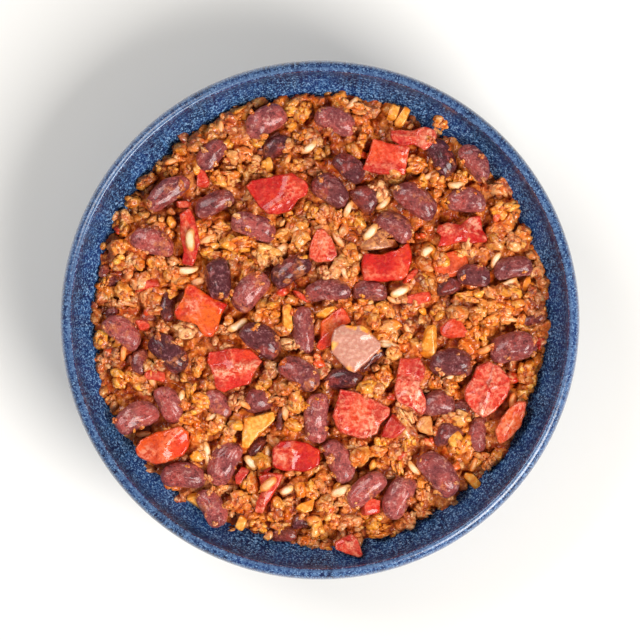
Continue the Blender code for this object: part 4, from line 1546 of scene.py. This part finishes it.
# the larger lumps of mince: x, y, length, width, turn, and a tone from pale through tan to golden
lumpPlaces = [
    (-31, 80, 10, 6, 20, 0.5), (-47.5, 69.5, 10, 9, 0, 0.42), (-55, 64, 6, 5, 0, 0.4),
    (-58, 57.5, 6, 5, 0, 0.55), (-67, 53, 10, 8, 30, 0.5), (-73, 46.5, 7, 6, 0, 0.4),
    (-77, 40, 10, 7, -40, 0.25), (-78, 28, 9, 7, 0, 0.4), (-32, 64, 12, 8, -10, 0.22),
    (-36, 58, 7, 4, 0, 0.22), (-37.5, 54.5, 10, 6, -10, 0.6), (-24.5, 69.5, 5, 6, 60, 0.6),
    (-25, 59, 6, 5, 0, 0.25), (-6, 81, 8, 8, 20, 0.62), (-12, 77, 6, 8, 10, 0.6), (-8, 72, 6, 5, 0, 0.55),
    (-10, 60, 8, 6, 0, 0.3), (-29.5, 29.5, 12, 7, 20, 0.55), (-43, 27, 9, 8, 0, 0.62),
    (-38, 37, 8, 5, 0, 0.6), (-11, 40, 8, 7, 0, 0.6), (-3, 42, 5, 6, 0, 0.62),
    (-28.5, 18.5, 11, 7, 55, 0.62), (-53, 16, 8, 9, 0, 0.6), (-66, 9, 9, 9, 0, 0.36),
    (-76, 11, 8, 8, 0, 0.52), (-84, 14.5, 4, 5, 0, 0.5), (-78, 21.5, 8, 5, 0, 0.5), (-63, 23, 7, 6, 0, 0.4),
    (-20, 3.5, 10, 7, 10, 0.6), (-52, -3.5, 10, 8, 0, 0.22), (-37, -3, 7, 6, 0, 0.24),
    (16.5, 82, 10, 5, -10, 0.45), (47, 77, 7, 7, 0, 0.55), (37, 60.5, 10, 8, 0, 0.6),
    (46, 53, 7, 5, 0, 0.64), (53, 52.5, 6, 4, 10, 0.62), (24, 49.5, 7, 9, -30, 0.2),
    (44, 48.5, 7, 6, 0, 0.4), (60, 56, 5, 5, 0, 0.55), (69, 52, 6, 6, 0, 0.5), (72, 43, 11, 8, 30, 0.6),
    (79, 32, 8, 10, 0, 0.62), (68, 32, 8, 10, 0, 0.62), (14, 38, 8, 9, 0, 0.64), (7, 40, 4, 7, 0, 0.4),
    (57, 26.5, 10, 5, -5, 0.62), (47, 23, 7, 8, 0, 0.6), (41, 27, 4, 5, 0, 0.24), (84.5, 19, 7, 11, 0, 0.3),
    (3, 18, 9, 7, 0, 0.22), (11, 19, 5, 7, 0, 0.6), (42, 14, 7, 9, 0, 0.62), (57, 9, 10, 5, 0, 0.6),
    (74, 6, 13, 7, 0, 0.62), (60, 2, 8, 6, 0, 0.24), (15, 6, 8, 5, 0, 0.36), (25, 4, 9, 7, 0, 0.42),
    (45.5, 3, 6, 7, 0, 0.6), (-86, -8, 7, 5, -30, 0.25), (-80, -14.5, 5, 5, 0, 0.4),
    (-77, -22, 10, 9, 30, 0.62), (-82, -31, 6, 5, 0, 0.45), (-67, -27, 6, 5, 0, 0.25),
    (-61, -3, 6, 6, 0, 0.25), (-47, -18, 6, 9, 0, 0.42), (-46, -31, 9, 7, 0, 0.6),
    (-22, -25, 7, 7, 0, 0.62), (-33, -32.5, 6, 8, 0, 0.3), (-16, -31, 10, 6, 20, 0.25),
    (-8, -32.5, 7, 8, 0, 0.6), (-10, -40, 8, 7, 0, 0.62), (-14, -9.5, 8, 5, 0, 0.26),
    (-4, -16.5, 7, 6, 0, 0.3), (-42, -42, 7, 6, 0, 0.6), (-51, -38.5, 10, 5, -15, 0.6),
    (-35, -43, 6, 5, 0, 0.22), (-32, -70, 11, 8, 0, 0.26), (-40, -67, 6, 6, 0, 0.4),
    (-24, -80, 7, 6, 0, 0.6), (-5, -66, 10, 9, 0, 0.55), (-15.5, -78, 7, 6, 0, 0.6),
    (-4, -85, 8, 6, 0, 0.4), (25, -5, 10, 7, 0, 0.5), (33, -7, 6, 5, 0, 0.6), (62, -5, 8, 7, 0, 0.5),
    (80, -3, 9, 4, 0, 0.55), (81, -21, 9, 12, 0, 0.58), (23, -25, 5, 9, 0, 0.42), (45, -24, 6, 6, 0, 0.42),
    (51, -27, 6, 7, 0, 0.62), (34, -37, 9, 5, -50, 0.2), (53, -38.5, 12, 8, 0, 0.36),
    (56, -48.5, 8, 8, 0, 0.6), (14, -48, 7, 5, 0, 0.3), (22, -50.5, 9, 6, 0, 0.4),
    (34, -48.5, 7, 9, 0, 0.6), (30, -57, 4.5, 8, 20, 0.64), (64, -55, 9, 8, 0, 0.3),
    (40, -67, 6, 7, 0, 0.4), (2, -71, 7, 7, 0, 0.55), (12, -79, 11, 7, 0, 0.3), (23, -82, 10, 6, 0, 0.5),
    (33, -78, 9, 8, 0, 0.3), (40, -74, 8, 6, 0, 0.42),
]


def buildLumps(material):
    chance = random.Random(nuggetForm["seed"] + 1)
    whole = Gathering()
    for x, y, length, width, turn, tone in lumpPlaces:
        mesh = clusterMesh(nuggetForm, chance, "one")
        points = pointsOf(mesh)
        low = points.min(0)
        high = points.max(0)
        tall = nuggetForm["tall"] * min(length, width)
        scale = [wanted * mm / (high[axis] - low[axis]) for axis, wanted in enumerate((length, width, tall))]
        fit = Matrix.Diagonal((*scale, 1)) @ Matrix.Translation(-Vector((low + high) / 2))
        whole.add(mesh, placedAt(x, y, nuggetForm["lift"]) @ turned(turn, "Z") @ fit, tone=tone)
    return whole.finish("minceLumps", material)


# the grains that lie clearly on top: x, y, turn, length, width and a tone from cream to orange
heroRice = [
    (-52, 19.5, 5, 10, 3.2, 0.05), (-32, -2, 30, 9, 3.2, 0.1), (-54, -31, 80, 8, 2.6, 0.3),
    (-50, 31, 90, 9, 3.6, 0.35), (-8, 36, 35, 8, 3.2, 0.1), (-16, 27, 35, 9, 3.4, 0.3),
    (19.5, 34, 50, 8, 3.2, 0.1), (11, 43, 65, 7, 2.8, 0.3), (13, 24, 15, 8, 3.2, 0.0),
    (31, 11, 25, 8, 3.5, 0.0), (27, -10, -10, 9, 2.6, 0.2), (-44, -52, 95, 10, 2.8, 0.2),
    (-13, -66, 25, 6, 3.2, 0.0), (8, -66.5, 25, 9.5, 3.8, 0.3), (14, -53.5, -22, 8.5, 3.8, 0.15),
    (73, 14.5, 25, 8, 2.2, 0.3), (73, 0.5, -10, 8, 2.2, 0.35), (-27, -55.5, -50, 7, 3.6, 0.0),
    (36.5, -57.5, -50, 7, 2.6, 0.4), (41.5, 26.5, 40, 6, 3.0, 0.1), (-20, -63.5, 40, 8, 3.5, 0.7),
    (53, 52.5, 5, 7, 3, 0.4),
]
riceForm = {
    "length": 8.2 * mm, "width": 3.1 * mm, "sides": 8, "rings": 9, "kinds": 5, "seed": 31,
    "bow": 0.1, "endPower": 3, "uneven": 0.25, "unevenScale": 1.6, "crownFade": 0.5, "flatness": 0.4,
    "heroLift": 1.2 * mm, "restOn": 0.6 * mm, "lean": 12,
    "Spacing": 8 * mm, "Density": 7000.0, "Room": 1.0 * mm, "Reach": 85 * mm, "Smallest": 0.7,
    "Largest": 1.0, "Tilt": 0.4, "Lowest": -0.6 * mm, "Highest": 1.2 * mm, "Seed": 12,
}


def riceGrain(form, chance, name):
    length = form["length"]
    width = form["width"]
    shape = bmesh.new()
    bmesh.ops.create_uvsphere(shape, u_segments=form["sides"], v_segments=form["rings"], radius=1)
    bow = chance.uniform(-form["bow"], form["bow"]) * width
    shift = inNoise(chance)
    litTops = []
    for vertex in shape.verts:
        along = vertex.co.z
        girth = girthAt(along, form["endPower"])
        girth *= 1 + form["uneven"] * noise.noise(vertex.co * form["unevenScale"] + shift)
        # how far up the grain's upper side a point is; that side is painted lighter
        litTops.append(max(vertex.co.y, 0) * (1 - form["crownFade"] * along ** 2))
        across = vertex.co.x * girth * width / 2 + bow * (1 - 2 * along ** 2)
        vertex.co = Vector((along * length / 2, across, vertex.co.y * girth * width * form["flatness"]))
    mesh = meshOf(shape, name)
    setAttribute(mesh, "crown", litTops)
    return mesh


def buildHeroRice(cover, material):
    chance = random.Random(riceForm["seed"])
    whole = Gathering()
    for x, y, turn, length, width, tone in heroRice:
        mesh = riceGrain(dict(riceForm, length=length * mm, width=width * mm), chance, "one")
        onPiece = cover.topAt(x * mm, y * mm) + riceForm["restOn"]
        base = Vector((x * mm, y * mm, max(ground(x * mm, y * mm) + riceForm["heroLift"], onPiece)))
        lean = turned(chance.uniform(-riceForm["lean"], riceForm["lean"]), "Y")
        whole.add(mesh, Matrix.Translation(base) @ turned(turn, "Z") @ lean, tone=tone)
    return whole.finish("riceOnTop", material)


riceLook = {  # pairs of a plain and an oily grain's colours
    "side": (tint(232, 168, 96), tint(232, 116, 24)), "crown": (tint(252, 224, 188), tint(246, 164, 76)),
    "sauce": (tint(190, 84, 20), tint(236, 140, 50)), "relief": 1 * mm,
}


def riceMaterial():
    look = riceLook
    material, g, here = newMaterial("cookedRice")
    tone = g.attribute("tone")
    patch = g.noise(here, 320, 3, 0.6)
    # upper side painted lighter, sides darker and more orange: partly sauce, partly painted shade
    crown = g.between(g.attribute("crown") + (patch - 0.5) * 1.2, 0.3, 0.95)
    colour = g.mix(crown, g.mix(tone, *look["side"]), g.mix(tone, *look["crown"]))
    finishMaterial(g, clinging(g, here, colour, 0.6, *look["sauce"]), 0.34 + 0.2 * patch,
                   {"Coat Weight": 0.15, "Coat Roughness": 0.2, **juicy(0.25, 0.003, 0.0015, 0.0007)},
                   patch, look["relief"], 0.8)
    return material


# small bits of onion and tomato through the mince
bitForm = {
    "kinds": 10, "lumps": (1, 2), "crumbs": (0, 1), "spread": 0.9 * mm, "size": (2.6 * mm, 4.8 * mm),
    "crumbSize": (1.2 * mm, 2.0 * mm), "stretch": (1.0, 1.6), "uneven": 0.4, "knobs": 1.8 * mm, "flats": 3,
    "detail": 2, "mixed": 0.1, "seed": 41,
    "Spacing": 7.5 * mm, "Density": 14000.0, "Room": 1.4 * mm, "Reach": 87 * mm, "Smallest": 0.7,
    "Largest": 1.15, "Tilt": 0.5, "Lowest": -0.6 * mm, "Highest": 1.0 * mm, "Seed": 15,
}


bitLook = {
    "tones": [(0.0, tint(244, 144, 24)), (0.4, tint(252, 174, 64)), (0.62, tint(244, 132, 30)),
              (0.8, tint(226, 76, 20)), (1.0, tint(198, 26, 14))],
    "pale": tint(254, 206, 132), "sauce": (tint(170, 56, 6), tint(236, 120, 16)), "relief": 0.6 * mm,
}


def bitMaterial():
    look = bitLook
    material, g, here = newMaterial("onionInOil")
    patch = g.noise(here, 300, 3, 0.6)
    colour = g.layers(g.ramp(g.attribute("tone"), look["tones"]), [(patch, 0.5, 0.64, 0.5, look["pale"])])
    finishMaterial(g, clinging(g, here, colour, 0.7, *look["sauce"]), 0.26 + 0.25 * patch,
                   {"Coat Weight": 0.4, "Coat Roughness": 0.12, **juicy(0.15, 0.004, 0.002, 0.001)},
                   patch, look["relief"], 0.7)
    return material


# floor, lights and camera
studio = {
    "distance": 1.0, "frameWidth": 0.2466, "tableHalf": 3, "panelSize": 0.6,
    "keyPower": 17, "keyPlace": (0.6, -0.55, 0.85), "keyColour": (1.0, 0.98, 0.95),
    "fillPower": 7.5, "fillPlace": (-0.65, 0.5, 0.85), "fillColour": (1.0, 1.0, 1.0),
    "airStrength": 0.26, "airColour": (1.0, 0.97, 0.92, 1),
}


def lightPanel(name):
    light = bpy.data.lights.new(name + "Light", "AREA")
    light.size = studio["panelSize"]
    light.energy = studio[name + "Power"]
    light.color = studio[name + "Colour"]
    panel = bpy.data.objects.new(name + "Light", light)
    panel.location = studio[name + "Place"]
    panel.rotation_euler = (-panel.location).to_track_quat("-Z", "Y").to_euler()
    bpy.context.scene.collection.objects.link(panel)


def buildStudio():
    half = studio["tableHalf"]
    corners = [(-half, -half, 0), (half, -half, 0), (half, half, 0), (-half, half, 0)]
    material, g, here = newMaterial("paleTable")
    cloud = g.noise(here, 3, 3, 0.5)
    finishMaterial(g, g.mix(cloud, (0.78, 0.77, 0.75, 1), (0.84, 0.83, 0.81, 1)), 0.8, {})
    newObject("tableTop", meshFrom("tableTop", corners, [(0, 1, 2, 3)]), material)
    lightPanel("key")
    lightPanel("fill")
    world = bpy.data.worlds.new("studioAir")
    bpy.context.scene.world = world
    world.use_nodes = True
    world.node_tree.nodes["Background"].inputs["Color"].default_value = studio["airColour"]
    world.node_tree.nodes["Background"].inputs["Strength"].default_value = studio["airStrength"]
    lens = bpy.data.cameras.new("camera")
    lens.lens = lens.sensor_width * studio["distance"] / studio["frameWidth"]
    camera = bpy.data.objects.new("camera", lens)
    camera.location = (0, 0, studio["distance"] + bowlForm["height"] - bowlForm["outerDrop"])
    bpy.context.scene.collection.objects.link(camera)
    bpy.context.scene.camera = camera
    bpy.context.scene.view_settings.view_transform = "Standard"


print("stage: bowl")
dress(buildBowl(), glazeMaterial(), ["bowl"])

print("stage: beans, pepper and onion")
bean = beanMaterial()
pepper = pepperMaterial()
onion = onionMaterial()
larger = buildBeans(bean) + buildPlates("pepper", pepper) + buildPlates("onion", onion)
smaller = [
    buildSunken("sunkenBeans", sunkenBeans, beanShape, "beanLift", beanForm, bean),
    buildSunken("pepperBits", pepperBits, slabShape, "pepperLift", slabForm, pepper),
    buildSunken("onionPieces", onionBits, slabShape, "onionLift", slabForm, onion),
]

print("stage: sauce and mince")
crumb = crumbMaterial()
smaller.append(buildLumps(crumb))
largeCover = Cover(larger)
wholeCover = Cover(larger + smaller)
dress(buildCore(wholeCover), coreMaterial(), ["chili"])
hostMesh = buildHost(largeCover, Cover(smaller))
scatter("minceNuggets", hostMesh, clusterMesh, nuggetForm, crumb)
scatter("minceGranules", hostMesh, clusterMesh, granuleForm, crumb)
scatter("minceOnPieces", buildTops(larger, largeCover), clusterMesh, brimForm, crumb)

print("stage: rice and small bits")
rice = riceMaterial()
scatter("riceGrains", hostMesh, riceGrain, riceForm, rice)
buildHeroRice(wholeCover, rice)
scatter("onionBits", hostMesh, clusterMesh, bitForm, bitMaterial())

print("stage: studio")
buildStudio()
